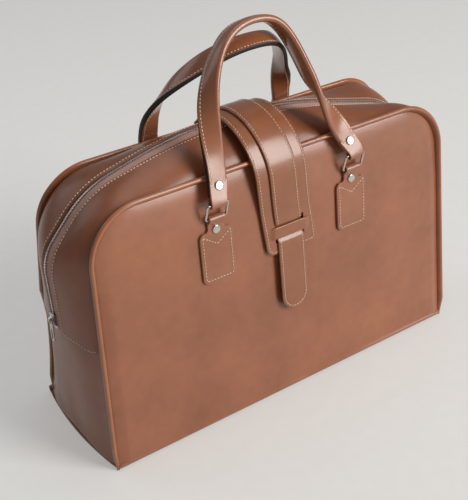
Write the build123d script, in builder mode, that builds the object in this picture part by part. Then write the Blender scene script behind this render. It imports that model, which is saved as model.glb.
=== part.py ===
import os
from math import acos, atan, cos, pi, radians, sin, tan

from build123d import *

os.makedirs("parts", exist_ok=True)

# All sizes are in millimetres. X is the width, the front faces -Y and the bag stands on Z = 0.

# Body: front, base and back are one folded sheet whose two faces lean in towards the top
panel_width_bottom = 460.0
panel_width_top = 440.0
panel_height = 281.0
depth_bottom = 164.0
depth_top = 106.0
panel_corner = 54.0
panel_thick = 4.0
panel_edge_round = 2.2
base_bend = 5.0
base_bend_inner = 1.0
base_bulge = 7.0
board_thick = 3.0
board_margin = 6.0

# Clearances: between sewn layers, between pieces that move on each other, and round rivets
seam_gap = 0.3
move_gap = 0.3
rivet_gap = 0.1

# Piping round the edge of each face
piping_radius = 2.5
piping_back_set = 2.0
piping_foot = 1.0

# Side panels below the hem of the upper gusset
gusset_thick = 2.2
side_inset_bottom = 0.6
side_inset_top = 1.8
side_bulge_middle = 11.0
side_bulge_top = 14.8
side_tuck = 18.0

# Upper gusset: two bulging halves that meet at the zip
hem_drop = 135.0
gusset_bulge = 3.5
zip_opening_front = 9.4
zip_opening_back = 5.0
zip_stand_out = 16.7
zip_end_drop = 4.0
zip_corner_out = 25.5
zip_corner_drop_left = 55.0
zip_corner_drop_right = 66.0
zip_corner_radius = 45.0
zip_shoulder_in_left = 24.0
zip_shoulder_in_right = 30.0
zip_shoulder_rise_left = 1.0
zip_shoulder_rise_right = -13.0
zip_shoulder_radius = 100.0
zip_crown_x = -25.0
zip_crown_rise = 45.0
zip_crown_share = 0.7

# Zip: tape, interlocked teeth, end stops, slider and pull
tape_thick = 0.8
tape_split = 1.0
tape_tuck_width = 5.0
tape_tuck_drop = 3.2
chain_width = 5.0
chain_thick = 2.4
stop_length = 3.5
stop_overlap = 0.5
stop_margin = 0.6
slider_length = 13.0
slider_wall = 1.5
slider_roof = 1.8
slider_start = 5.5
bridge_width = 2.6
bridge_window = 4.6
bridge_window_height = 2.2
bridge_bar = 1.3
pull_pin_radius = 0.8
pull_thick = 1.3
pull_width = 7.0
pull_length = 26.0
pull_eye_length = 4.6
pull_eye_width = 3.6
pull_slot_width = 3.0
pull_slot_length = 12.0
pull_slot_margin = 2.6

# Chapes sewn to the faces, each with a neck that loops through a ring
tab_x = 88.0
tab_width = 40.0
tab_height = 56.0
tab_thick = 2.4
tab_corner = 6.0
tab_shoulder_round = 4.0
neck_width = 19.0
neck_length = 15.0
neck_slope = 5.5
loop_wall = 2.0

# Rectangular wire rings
ring_wire_radius = 1.4
ring_width = 24.4
ring_height = 18.4
ring_corner = 2.2
ring_foot_drop = 38.0
ring_foot_offset = 4.6
ring_tilt = 14.0

# Handles: a strap that twists from flat ends to an upright arch
handle_lean = 18.0
handle_rise_front = 161.0
handle_rise_back = 148.0
handle_sag_front = 5.0
handle_sag_back = 33.0
handle_skew = 14.0
handle_pinch_front = 14.5
handle_pinch_back = 0.0
handle_width = 22.0
handle_end_width = 18.5
handle_end_half_thick = 3.0
handle_roll_radius = 3.5
handle_cut_half_thick = 2.2
handle_flat_end = 28.0
handle_twist_end = 0.40
handle_loop_wall = 2.5
handle_rivet_rise = 18.0

# Rivets
rivet_head_radius = 4.6
rivet_head_thick = 1.6
rivet_head_round = 0.9
rivet_shaft_radius = 1.6
rivet_clinch_radius = 3.2
rivet_clinch_thick = 1.0

# Closing strap: a wide strap with a slotted band and a narrow strap threaded through it
strap_x = 4.5
strap_drop = 105.0
strap_slant = 6.9
strap_wide_width = 64.0
strap_wide_corner = 8.0
strap_wide_thick = 2.6
strap_narrow_width = 34.0
strap_narrow_thick = 2.4
strap_stand_off = 1.2
strap_root_in = 9.5
strap_root_rise = 10.6
strap_peak_y = -3.0
strap_peak_rise = 22.0
strap_crest_radius = 55.0
strap_shoulder_out = 4.2
strap_shoulder_rise = 5.0
strap_shoulder_radius = 30.0
strap_lay_drop = 25.0
strap_lay_radius = 120.0
band_rise = 18.0
band_height = 13.0
band_wall = 2.6
band_side = 4.0
band_slack = 2.4
slit_height = 8.0
dip_radius = 5.0
tongue_drop = 70.0
tongue_shift = -2.0

# Press stud behind the tongue
stud_drop = 50.0
stud_base_radius = 5.5
stud_base_thick = 1.0
stud_radius = 2.1
stud_rise = 2.0
socket_outer_radius = 5.5
socket_inner_radius = 3.0
socket_thick = 2.0


# Shape of the leaning faces
lean = atan((depth_bottom - depth_top) / 2 / panel_height)
slant_height = panel_height / cos(lean)
side_taper = atan((panel_width_bottom - panel_width_top) / 2 / slant_height)
front_plane = Plane(
    origin=(0, -depth_bottom / 2, 0), x_dir=(1, 0, 0), z_dir=(0, -cos(lean), sin(lean))
)
panel_normal = front_plane.z_dir
panel_up = front_plane.y_dir
hem_height = panel_height - hem_drop
hem_v = hem_height / cos(lean)
ring_foot_height = panel_height - ring_foot_drop
strap_end_height = panel_height - strap_drop


def half_width(v, out=0.0):
    return panel_width_bottom / 2 - v * tan(side_taper) + out / cos(side_taper)


def edge_points(start_v, out):
    top_v = slant_height + out
    return [
        (-half_width(start_v, out), start_v),
        (-half_width(top_v, out), top_v),
        (half_width(top_v, out), top_v),
        (half_width(start_v, out), start_v),
    ]


def on_front(u, v, d):
    return front_plane.from_local_coords(Vector(u, v, d))


# Rings and chapes share the axis of the ring's lower bar
ring_foot = Vector(
    0,
    -depth_bottom / 2 + ring_foot_height * tan(lean) - ring_foot_offset / cos(lean),
    ring_foot_height,
)
ring_up = Vector(0, -sin(radians(ring_tilt)), cos(radians(ring_tilt)))
ring_top = ring_foot + ring_up * ring_height
foot_local = front_plane.to_local_coords(ring_foot)
bar_hole = ring_wire_radius + move_gap
tab_loop_radius = bar_hole + loop_wall
neck_foot_v = foot_local.Y - neck_slope - tab_thick
tab_rivet_v = neck_foot_v - rivet_head_radius - seam_gap


# Front, base and back in one folded sheet
with BuildPart() as body_wrap:
    with BuildSketch(Plane.YZ) as wrap_profile:
        inner_foot = -depth_bottom / 2 + panel_thick / cos(lean) + panel_thick * tan(lean)
        with BuildLine():
            Polyline(
                (0, 0),
                (-depth_bottom / 2, 0),
                (-depth_top / 2, panel_height),
                (-depth_top / 2 + panel_thick / cos(lean), panel_height),
                (inner_foot, panel_thick),
                (0, panel_thick),
                close=True,
            )
        make_face()
        fillet(wrap_profile.vertices().sort_by_distance((-depth_bottom / 2, 0))[0], base_bend)
        fillet(wrap_profile.vertices().sort_by_distance((inner_foot, panel_thick))[0], base_bend_inner)
    extrude(amount=panel_width_bottom + panel_width_top, both=True)
    with BuildSketch(front_plane):
        with BuildLine():
            edge = edge_points(-depth_bottom / 4, 0)
            FilletPolyline(*edge, radius=panel_corner)
            Line(edge[0], edge[-1])
        make_face()
    extrude(amount=depth_bottom, both=True, mode=Mode.INTERSECT)
    outer_face = body_wrap.faces().filter_by(
        lambda face: face.normal_at().dot(panel_normal) > 0.999
    )[0]
    fillet(outer_face.edges().sort_by(Axis.Z)[1:], panel_edge_round)
    with BuildSketch(front_plane):
        with Locations((-tab_x, tab_rivet_v), (tab_x, tab_rivet_v)):
            Circle(rivet_shaft_radius + rivet_gap)
    extrude(amount=-2 * panel_thick, mode=Mode.SUBTRACT)
    mirror(about=Plane.XZ)
    with BuildSketch(Plane.XY):
        end_x = panel_width_bottom / 2 - 2 * panel_edge_round
        end_y = depth_bottom / 2 - base_bend
        with BuildLine():
            ThreePointArc(
                (-end_x, -end_y), (-panel_width_bottom / 2 - base_bulge, 0), (-end_x, end_y)
            )
            Line((-end_x, end_y), (-end_x, -end_y))
        make_face()
        mirror(about=Plane.YZ)
    extrude(amount=panel_thick)
body_wrap.part.label = "body_wrap"
export_step(body_wrap.part, "parts/body_wrap.step")


# Stiff board that keeps the base flat
with BuildPart() as base_board:
    with BuildSketch(Plane.XY.offset(panel_thick)):
        RectangleRounded(
            panel_width_bottom - 4 * board_margin, depth_bottom - 4 * board_margin, board_margin
        )
    extrude(amount=board_thick)
base_board.part.label = "base_board"
export_step(base_board.part, "parts/base_board.step")


# Piping along the sides and the top of each face
with BuildPart() as piping_front:
    with BuildLine(front_plane.offset(-piping_back_set)) as piping_path:
        piping_out = piping_radius + seam_gap
        FilletPolyline(*edge_points(piping_foot, piping_out), radius=panel_corner + piping_out)
    with BuildSketch(Plane(origin=piping_path.line @ 0, z_dir=piping_path.line % 0)):
        Circle(piping_radius)
    sweep(path=piping_path.line)
piping_front.part.label = "piping_front"
export_step(piping_front.part, "parts/piping_front.step")

with BuildPart() as piping_back:
    mirror(piping_front.part, about=Plane.XZ)
piping_back.part.label = "piping_back"
export_step(piping_back.part, "parts/piping_back.step")


# Side panels: flat at the foot, fuller towards the hem that covers their upper edge
with BuildPart() as side_gusset_left:
    side_foot = panel_thick + seam_gap
    side_top = hem_height + side_tuck
    side_middle = (side_foot + side_top) / 2
    side_inset_middle = (side_inset_bottom + side_inset_top) / 2
    for z, inset, bulge in (
        (side_foot, side_inset_bottom, base_bulge),
        (side_middle, side_inset_middle, side_bulge_middle),
        (side_top, side_inset_top, side_bulge_top),
    ):
        x = -half_width(z / cos(lean)) + inset
        y = depth_bottom / 2 - z * tan(lean) - panel_thick / cos(lean) - seam_gap
        with BuildSketch(Plane.XY.offset(z)):
            with BuildLine():
                ThreePointArc((x, -y), (x - bulge, 0), (x, y))
                Line((x, y), (x + gusset_thick, y))
                ThreePointArc(
                    (x + gusset_thick, y), (x + gusset_thick - bulge, 0), (x + gusset_thick, -y)
                )
                Line((x + gusset_thick, -y), (x, -y))
            make_face()
    loft()
side_gusset_left.part.label = "side_gusset_left"
export_step(side_gusset_left.part, "parts/side_gusset_left.step")

with BuildPart() as side_gusset_right:
    mirror(side_gusset_left.part, about=Plane.YZ)
side_gusset_right.part.label = "side_gusset_right"
export_step(side_gusset_right.part, "parts/side_gusset_right.step")


# Line of the zip: up the left side, over the top and down the right side
zip_end_x = half_width(hem_v) + zip_stand_out
zip_foot = hem_height - zip_end_drop
corner_x = panel_width_top / 2 + zip_corner_out
zip_points = [
    (-zip_end_x, 0, zip_foot),
    (-corner_x, 0, panel_height - zip_corner_drop_left),
    (-panel_width_top / 2 + zip_shoulder_in_left, 0, panel_height + zip_shoulder_rise_left),
    (zip_crown_x, 0, panel_height + zip_crown_rise),
    (panel_width_top / 2 - zip_shoulder_in_right, 0, panel_height + zip_shoulder_rise_right),
    (corner_x, 0, panel_height - zip_corner_drop_right),
    (zip_end_x, 0, zip_foot),
]
crown_left = Vector(*zip_points[3]) - Vector(*zip_points[2])
crown_right = Vector(*zip_points[4]) - Vector(*zip_points[3])
crown_turn = acos(crown_left.normalized().dot(crown_right.normalized()))
crown_run = min(crown_left.length, crown_right.length)
zip_crown_radius = zip_crown_share * crown_run / tan(crown_turn / 2)
zip_radii = [
    zip_corner_radius,
    zip_shoulder_radius,
    zip_crown_radius,
    zip_shoulder_radius,
    zip_corner_radius,
]
with BuildLine() as zip_line:
    FilletPolyline(*zip_points, radius=zip_radii)
zip_crown = zip_line.line.bounding_box().max.Z

# Line of the seam that joins the upper gusset to the face
gusset_set = piping_back_set + piping_radius + seam_gap + 0.7 * gusset_thick
with BuildLine(front_plane.offset(-gusset_set)) as seam_line:
    FilletPolyline(*edge_points(hem_v, seam_gap), radius=panel_corner + seam_gap)

chain_rise = tape_thick / 2 + seam_gap / 2
chain_top = chain_rise + chain_thick


def zip_frame(point, along):
    return Plane(origin=point, x_dir=(0, 1, 0), z_dir=along)


# Upper gusset: thin bulging sections from the seam to the edge of the zip, close together round
# the corners. The front edge stands further from the teeth than the back edge.
corner_steps = [0.09 + 0.0155 * i for i in range(13)]
left_steps = [0, 0.045, 0.075] + corner_steps + [0.32, 0.36, 0.41, 0.455]
gusset_steps = left_steps + [0.5] + [1 - step for step in reversed(left_steps)]
gusset_halves = []
for opening in (zip_opening_front, zip_opening_back):
    with BuildPart() as gusset_half:
        for t in gusset_steps:
            seam_out = panel_normal.cross(seam_line.line % t)
            ridge = zip_frame(zip_line.line @ t, zip_line.line % t)
            seam_point = seam_line.line @ t
            ridge_point = ridge.from_local_coords(
                Vector(-opening, tape_thick / 2 + 2 * seam_gap, 0)
            )
            chord = (ridge_point - seam_point).normalized()
            out = seam_out + ridge.y_dir
            out = (out - chord * out.dot(chord)).normalized()
            span = (ridge_point - seam_point).length
            with BuildSketch(Plane(origin=seam_point, x_dir=chord, z_dir=chord.cross(out))):
                with BuildLine():
                    ThreePointArc(
                        (0, gusset_thick),
                        (span / 2, gusset_thick + gusset_bulge),
                        (span, gusset_thick),
                    )
                    Line((span, gusset_thick), (span, 0))
                    ThreePointArc((span, 0), (span / 2, gusset_bulge), (0, 0))
                    Line((0, 0), (0, gusset_thick))
                make_face()
        loft(ruled=True)
    gusset_halves.append(gusset_half.part)

with BuildPart() as zip_gusset_front:
    add(gusset_halves[0])
zip_gusset_front.part.label = "zip_gusset_front"
export_step(zip_gusset_front.part, "parts/zip_gusset_front.step")

with BuildPart() as zip_gusset_back:
    mirror(gusset_halves[1], about=Plane.XZ)
zip_gusset_back.part.label = "zip_gusset_back"
export_step(zip_gusset_back.part, "parts/zip_gusset_back.step")


def shoulder_plane(i):
    # square to the zip in the middle of its turn at point i
    before, at, after = (Vector(*zip_points[k]) for k in (i - 1, i, i + 1))
    return Plane(origin=at, z_dir=(at - before).normalized() + (after - at).normalized())


# Zip tapes: bare beside the teeth, then tucked under the edge of the gusset. Each is in three
# stretches that meet on the shoulders.
left_cut = (shoulder_plane(2).offset(-seam_gap / 2), shoulder_plane(2).offset(seam_gap / 2))
right_cut = (shoulder_plane(4).offset(-seam_gap / 2), shoulder_plane(4).offset(seam_gap / 2))
tape_stretches = {
    "left": [(left_cut[0], Keep.BOTTOM)],
    "crown": [(left_cut[1], Keep.TOP), (right_cut[0], Keep.BOTTOM)],
    "right": [(right_cut[1], Keep.TOP)],
}
for end, side, opening in (("front", -1, zip_opening_front), ("back", 1, zip_opening_back)):
    for stretch, cuts in tape_stretches.items():
        with BuildPart() as zip_tape:
            with BuildSketch(zip_frame(zip_line.line @ 0, zip_line.line % 0)):
                with BuildLine():
                    Polyline(
                        (side * tape_split / 2, tape_thick / 2),
                        (side * opening, tape_thick / 2),
                        (side * (opening + tape_tuck_width), tape_thick / 2 - tape_tuck_drop),
                        (side * (opening + tape_tuck_width), -tape_thick / 2 - tape_tuck_drop),
                        (side * opening, -tape_thick / 2),
                        (side * tape_split / 2, -tape_thick / 2),
                        close=True,
                    )
                make_face()
            sweep(path=zip_line.line)
            for plane, kept in cuts:
                split(bisect_by=plane, keep=kept)
        zip_tape.part.label = f"zip_tape_{end}_{stretch}"
        export_step(zip_tape.part, f"parts/zip_tape_{end}_{stretch}.step")


# Closed teeth between the two end stops
zip_up_left = (Vector(*zip_points[1]) - Vector(*zip_points[0])).normalized()
zip_up_right = (Vector(*zip_points[-2]) - Vector(*zip_points[-1])).normalized()
chain_start = stop_margin + stop_length + seam_gap
with BuildPart() as zip_chain:
    with BuildLine() as chain_path:
        chain_points = [Vector(*point) for point in zip_points]
        chain_points[0] += zip_up_left * chain_start
        chain_points[-1] += zip_up_right * chain_start
        FilletPolyline(*chain_points, radius=zip_radii)
    with BuildSketch(zip_frame(chain_path.line @ 0, chain_path.line % 0)):
        with Locations((0, chain_rise + chain_thick / 2)):
            RectangleRounded(chain_width, chain_thick, chain_thick / 4)
    sweep(path=chain_path.line)
zip_chain.part.label = "zip_chain"
export_step(zip_chain.part, "parts/zip_chain.step")

with BuildPart() as zip_stops:
    for foot, up, along in (
        (zip_points[0], zip_up_left, zip_up_left),
        (zip_points[-1], zip_up_right, zip_up_right * -1),
    ):
        middle = Vector(*foot) + up * (stop_margin + stop_length / 2)
        with BuildSketch(zip_frame(middle, along)):
            with Locations((0, chain_rise + chain_thick / 2)):
                RectangleRounded(chain_width + 2 * stop_overlap, chain_thick, chain_thick / 4)
        extrude(amount=stop_length / 2, both=True)
zip_stops.part.label = "zip_stops"
export_step(zip_stops.part, "parts/zip_stops.step")


# Slider: a saddle over the teeth with a bridge for the pull
slider_centre = Vector(*zip_points[0]) + zip_up_left * (slider_start + slider_length / 2)
slider_frame = zip_frame(slider_centre, zip_up_left)
slider_half = chain_width / 2 + move_gap + slider_wall
roof_low = chain_top + move_gap
roof_top = roof_low + slider_roof
window_low = roof_top + move_gap
window_top = window_low + bridge_window_height
bridge_top = window_top + bridge_bar
bridge_half = bridge_window / 2 + bridge_bar
slider_side = Plane(
    origin=slider_centre, x_dir=slider_frame.y_dir, z_dir=slider_frame.y_dir.cross(zip_up_left)
)
with BuildPart() as zip_slider:
    with BuildSketch(slider_frame):
        with BuildLine():
            Polyline(
                (-slider_half, chain_rise + move_gap),
                (-slider_half, roof_top),
                (slider_half, roof_top),
                (slider_half, chain_rise + move_gap),
                (slider_half - slider_wall, chain_rise + move_gap),
                (slider_half - slider_wall, roof_low),
                (-slider_half + slider_wall, roof_low),
                (-slider_half + slider_wall, chain_rise + move_gap),
                close=True,
            )
        make_face()
    extrude(amount=slider_length / 2, both=True)
    upward = zip_slider.faces().filter_by(
        lambda face: face.normal_at().dot(slider_frame.y_dir) > 0.999
    )
    roof = upward.sort_by(SortBy.AREA)[-1]
    fillet(roof.edges().filter_by(Axis.Y), slider_roof * 0.6)
    with BuildSketch(slider_side):
        with BuildLine():
            Polyline(
                (roof_top, -bridge_half),
                (bridge_top, -bridge_half + bridge_bar),
                (bridge_top, bridge_half - bridge_bar),
                (roof_top, bridge_half),
                close=True,
            )
        make_face()
        with Locations(((window_low + window_top) / 2, 0)):
            Rectangle(bridge_window_height, bridge_window - bridge_bar, mode=Mode.SUBTRACT)
    extrude(amount=bridge_width / 2, both=True)
zip_slider.part.label = "zip_slider"
export_step(zip_slider.part, "parts/zip_slider.step")


# Pull: an oblong plate with a slot, hung from a pin under the bridge
pull_pin = slider_centre + slider_frame.y_dir * ((window_low + window_top) / 2)
pull_plane = Plane(origin=pull_pin, x_dir=(0, -1, 0), z_dir=(-1, 0, 0))
with BuildPart() as zip_pull:
    with BuildSketch(pull_plane.offset(-pull_thick / 2)):
        with Locations((0, -pull_length / 2)):
            RectangleRounded(pull_width, pull_length, pull_width / 2 - 0.1)
        with Locations((0, -pull_pin_radius * 2)):
            Rectangle(pull_width, pull_pin_radius * 4)
        with Locations((0, -pull_eye_length / 2)):
            Rectangle(pull_eye_width, pull_eye_length, mode=Mode.SUBTRACT)
        slot_end = pull_length - pull_slot_margin
        with Locations((0, -slot_end + pull_slot_length / 2)):
            SlotOverall(pull_slot_length, pull_slot_width, rotation=90, mode=Mode.SUBTRACT)
    extrude(amount=pull_thick)
    with BuildSketch(Plane(origin=pull_pin, z_dir=(0, 1, 0))):
        Circle(pull_pin_radius)
    extrude(amount=pull_width / 2, both=True)
zip_pull.part.label = "zip_pull"
export_step(zip_pull.part, "parts/zip_pull.step")


# Chapes: a sewn patch with stepped shoulders and a neck looped round the ring
tab_plane = front_plane.offset(seam_gap)
tab_side = Plane(origin=on_front(-tab_x, 0, 0), x_dir=panel_normal, z_dir=(-1, 0, 0))
tab_shoulder_v = (ring_foot_height - neck_length) / cos(lean)
tab_bottom_v = tab_shoulder_v - tab_height / cos(lean)
tab_face = seam_gap + tab_thick
with BuildPart() as tab_front_left:
    with BuildSketch(tab_plane) as patch:
        with Locations((-tab_x, (tab_bottom_v + tab_shoulder_v) / 2)):
            RectangleRounded(tab_width, tab_shoulder_v - tab_bottom_v, tab_corner)
        with Locations((-tab_x, (tab_shoulder_v + foot_local.Y) / 2)):
            Rectangle(neck_width, foot_local.Y - tab_shoulder_v)
        steps = patch.vertices().filter_by_position(
            Axis.Y, tab_shoulder_v - 0.01, tab_shoulder_v + 0.01
        )
        fillet(steps.sort_by_distance((-tab_x, tab_shoulder_v))[:2], tab_shoulder_round)
    extrude(amount=tab_thick)
    with BuildSketch(tab_side):
        with Locations((foot_local.Z, foot_local.Y)):
            Circle(tab_loop_radius)
        with BuildLine():
            Polyline(
                (seam_gap, neck_foot_v),
                (tab_face, neck_foot_v),
                (foot_local.Z + tab_loop_radius * 0.95, foot_local.Y - tab_loop_radius * 0.3),
                (foot_local.Z, foot_local.Y),
                (seam_gap, foot_local.Y),
                close=True,
            )
        make_face()
    extrude(amount=neck_width / 2, both=True)
    with BuildSketch(tab_side):
        with Locations((foot_local.Z, foot_local.Y)):
            Circle(bar_hole)
    extrude(amount=neck_width, both=True, mode=Mode.SUBTRACT)
    with BuildSketch(front_plane):
        with Locations((-tab_x, tab_rivet_v)):
            Circle(rivet_shaft_radius + rivet_gap)
    extrude(amount=tab_face * 2, mode=Mode.SUBTRACT)
tab_front_left.part.label = "tab_front_left"
export_step(tab_front_left.part, "parts/tab_front_left.step")

with BuildPart() as tab_front_right:
    mirror(tab_front_left.part, about=Plane.YZ)
tab_front_right.part.label = "tab_front_right"
export_step(tab_front_right.part, "parts/tab_front_right.step")

with BuildPart() as tab_back_left:
    mirror(tab_front_left.part, about=Plane.XZ)
tab_back_left.part.label = "tab_back_left"
export_step(tab_back_left.part, "parts/tab_back_left.step")

with BuildPart() as tab_back_right:
    mirror(tab_front_right.part, about=Plane.XZ)
tab_back_right.part.label = "tab_back_right"
export_step(tab_back_right.part, "parts/tab_back_right.step")


# Rings of bent wire
ring_plane = Plane(
    origin=ring_foot + Vector(-tab_x, 0, 0), x_dir=(1, 0, 0), z_dir=Vector(1, 0, 0).cross(ring_up)
)
with BuildPart() as ring_front_left:
    with BuildLine(ring_plane) as ring_path:
        FilletPolyline(
            (-ring_width / 2, 0),
            (ring_width / 2, 0),
            (ring_width / 2, ring_height),
            (-ring_width / 2, ring_height),
            radius=ring_corner,
            close=True,
        )
    with BuildSketch(Plane(origin=ring_path.line @ 0, z_dir=ring_path.line % 0)):
        Circle(ring_wire_radius)
    sweep(path=ring_path.line)
ring_front_left.part.label = "ring_front_left"
export_step(ring_front_left.part, "parts/ring_front_left.step")

with BuildPart() as ring_front_right:
    mirror(ring_front_left.part, about=Plane.YZ)
ring_front_right.part.label = "ring_front_right"
export_step(ring_front_right.part, "parts/ring_front_right.step")

with BuildPart() as ring_back_left:
    mirror(ring_front_left.part, about=Plane.XZ)
ring_back_left.part.label = "ring_back_left"
export_step(ring_back_left.part, "parts/ring_back_left.step")

with BuildPart() as ring_back_right:
    mirror(ring_front_right.part, about=Plane.XZ)
ring_back_right.part.label = "ring_back_right"
export_step(ring_back_right.part, "parts/ring_back_right.step")


# Handles hang on the rings' upper bars. The arch narrows towards its top, is drawn over to one
# side, and sags towards the middle of the bag.
lean_handle = radians(handle_lean)
handle_loop_radius = bar_hole + handle_loop_wall
arch_shape = (
    (1, 0),
    (1, 0.09),
    (0.985, 0.18),
    (0.95, 0.37),
    (0.86, 0.57),
    (0.62, 0.81),
    (0.3, 0.965),
)
half_steps = [0, 3, 7, 11, 16, 21, 26, 31, 36, 41, 46]
handle_steps = half_steps + [50] + [100 - step for step in reversed(half_steps)]


def handle_up(side):
    return Vector(0, -side * sin(lean_handle), cos(lean_handle))


def handle_outward(side):
    return Vector(0, side * cos(lean_handle), sin(lean_handle))


def handle_arch(side, rise, sag, pinch):
    pivot = Vector(0, -side * ring_top.Y, ring_top.Z)
    left = [(-tab_x * across + pinch * sin(pi * height), height) for across, height in arch_shape]
    right = [(-across, height) for across, height in reversed(left)]
    path = []
    for across, height in left + [(0, 1)] + right:
        skew = handle_skew * sin(0.8 * pi * height) ** 1.5
        along = handle_up(side) * (rise * height)
        inward = handle_outward(side) * (-sag * height**2)
        path.append(pivot + Vector(across - skew, 0, 0) + along + inward)
    return Spline(*path, tangents=(handle_up(side), handle_up(side) * -1))


def handle_frame(path, side, t):
    along = path % t
    in_plane = (along.cross(handle_outward(side)) * side).normalized()
    face_out = (in_plane.cross(along) * side).normalized()
    from_end = min(t, 1 - t) * path.length
    twist = (from_end - handle_flat_end) / (handle_twist_end * path.length - handle_flat_end)
    twist = min(max(twist, 0), 1)
    turned = twist * twist * (3 - 2 * twist)
    angle = pi / 2 * (1 - turned)
    across = face_out * cos(angle) - in_plane * sin(angle)
    width = handle_end_width + (handle_width - handle_end_width) * min(from_end / handle_flat_end, 1)
    return Plane(origin=path @ t, x_dir=across, z_dir=along), width, turned


def handle_rivet_planes(path, side):
    planes = []
    for t in (handle_rivet_rise / path.length, 1 - handle_rivet_rise / path.length):
        in_plane = (path % t).cross(handle_outward(side))
        planes.append(Plane(origin=path @ t, z_dir=in_plane.cross(path % t)))
    return planes


with BuildLine():
    front_arch = handle_arch(-1, handle_rise_front, handle_sag_front, handle_pinch_front)
with BuildLine():
    back_arch = handle_arch(1, handle_rise_back, handle_sag_back, handle_pinch_back)

for name, arch, side in (("handle_front", front_arch, -1), ("handle_back", back_arch, 1)):
    with BuildPart() as handle:
        for step in handle_steps:
            frame, width, turned = handle_frame(arch, side, step / 100)
            roll = handle_end_half_thick + (handle_roll_radius - handle_end_half_thick) * turned
            cut = handle_end_half_thick + (handle_cut_half_thick - handle_end_half_thick) * turned
            with BuildSketch(frame):
                with BuildLine():
                    ThreePointArc(
                        (width / 2 - roll, -roll), (width / 2, 0), (width / 2 - roll, roll)
                    )
                    Line((width / 2 - roll, roll), (-width / 2, cut))
                    Line((-width / 2, cut), (-width / 2, -cut))
                    Line((-width / 2, -cut), (width / 2 - roll, -roll))
                make_face()
        loft()
        with BuildSketch(Plane.YZ.offset(-tab_x), Plane.YZ.offset(tab_x)):
            with Locations((-side * ring_top.Y, ring_top.Z)):
                Circle(handle_loop_radius)
        extrude(amount=handle_end_width / 2, both=True)
        with BuildSketch(Plane.YZ.offset(-tab_x), Plane.YZ.offset(tab_x)):
            with Locations((-side * ring_top.Y, ring_top.Z)):
                Circle(bar_hole)
        extrude(amount=handle_width, both=True, mode=Mode.SUBTRACT)
        with BuildSketch(*handle_rivet_planes(arch, side)):
            Circle(rivet_shaft_radius + rivet_gap)
        extrude(amount=handle_width, both=True, mode=Mode.SUBTRACT)
    handle.part.label = name
    export_step(handle.part, f"parts/{name}.step")


# Rivets through the folded ends of the handles
handle_rivet_seat = handle_end_half_thick + rivet_gap
head_limit = (rivet_head_radius + rivet_clinch_radius) / 2
for name, arch, side in (
    ("handle_rivets_front", front_arch, -1),
    ("handle_rivets_back", back_arch, 1),
):
    with BuildPart() as handle_rivets:
        for plane in handle_rivet_planes(arch, side):
            with BuildSketch(plane.offset(handle_rivet_seat)):
                Circle(rivet_head_radius)
            extrude(amount=rivet_head_thick)
            with BuildSketch(plane.offset(-handle_rivet_seat)):
                Circle(rivet_shaft_radius)
            extrude(amount=2 * handle_rivet_seat)
            with BuildSketch(plane.offset(-handle_rivet_seat - rivet_clinch_thick)):
                Circle(rivet_clinch_radius)
            extrude(amount=rivet_clinch_thick)
        rims = handle_rivets.edges().filter_by(GeomType.CIRCLE)
        heads = rims.filter_by(lambda rim: rim.radius > head_limit).sort_by(Axis.Y)
        fillet(heads[:2] if side < 0 else heads[-2:], rivet_head_round)
    handle_rivets.part.label = name
    export_step(handle_rivets.part, f"parts/{name}.step")


# Rivets through the chapes and the faces behind them
with BuildPart() as tab_rivets_front:
    seats = [(-tab_x, tab_rivet_v), (tab_x, tab_rivet_v)]
    with BuildSketch(front_plane.offset(tab_face + rivet_gap)):
        with Locations(*seats):
            Circle(rivet_head_radius)
    extrude(amount=rivet_head_thick)
    with BuildSketch(front_plane.offset(-panel_thick - rivet_gap)):
        with Locations(*seats):
            Circle(rivet_shaft_radius)
    extrude(amount=panel_thick + tab_face + 2 * rivet_gap)
    with BuildSketch(front_plane.offset(-panel_thick - rivet_gap - rivet_clinch_thick)):
        with Locations(*seats):
            Circle(rivet_clinch_radius)
    extrude(amount=rivet_clinch_thick)
    rims = tab_rivets_front.edges().filter_by(GeomType.CIRCLE)
    fillet(rims.filter_by(lambda rim: rim.radius > head_limit).sort_by(Axis.Y)[:2], rivet_head_round)
tab_rivets_front.part.label = "tab_rivets_front"
export_step(tab_rivets_front.part, "parts/tab_rivets_front.step")

with BuildPart() as tab_rivets_back:
    mirror(tab_rivets_front.part, about=Plane.XZ)
tab_rivets_back.part.label = "tab_rivets_back"
export_step(tab_rivets_back.part, "parts/tab_rivets_back.step")


# Closing strap: in side view it runs from the back seam over the zip and down the front
def front_at(height, off):
    point = on_front(0, height / cos(lean), off)
    return (point.Y, point.Z)


def shifted(points, amount):
    runs = [(Vector(*b) - Vector(*a)).normalized() for a, b in zip(points, points[1:])]
    sides = [Vector(run.Y, -run.X) for run in runs]
    sides = [sides[0]] + sides + [sides[-1]]
    moved = []
    for point, before, after in zip(points, sides, sides[1:]):
        corner = (before + after).normalized()
        place = Vector(*point) + corner * (amount / corner.dot(after))
        moved.append((place.X, place.Y))
    return moved


def strap_axis(height):
    return strap_x - (height - strap_end_height) * tan(radians(strap_slant))


strap_top = zip_crown + strap_peak_rise
tip_height = strap_end_height - tongue_drop
narrow_off = strap_stand_off + strap_wide_thick + move_gap
band_floor = strap_stand_off + strap_narrow_thick + move_gap
band_low = strap_end_height + band_rise
band_high = band_low + band_height
band_x = strap_axis((band_low + band_high) / 2)
tunnel_half = strap_narrow_width / 2 + band_slack
strap_run = [
    (depth_top / 2 - strap_root_in, panel_height + strap_root_rise),
    (strap_peak_y, strap_top),
    front_at(panel_height + strap_shoulder_rise, strap_shoulder_out),
    front_at(panel_height - strap_lay_drop, strap_stand_off),
]
strap_radii = [strap_crest_radius, strap_shoulder_radius, strap_lay_radius]

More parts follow.
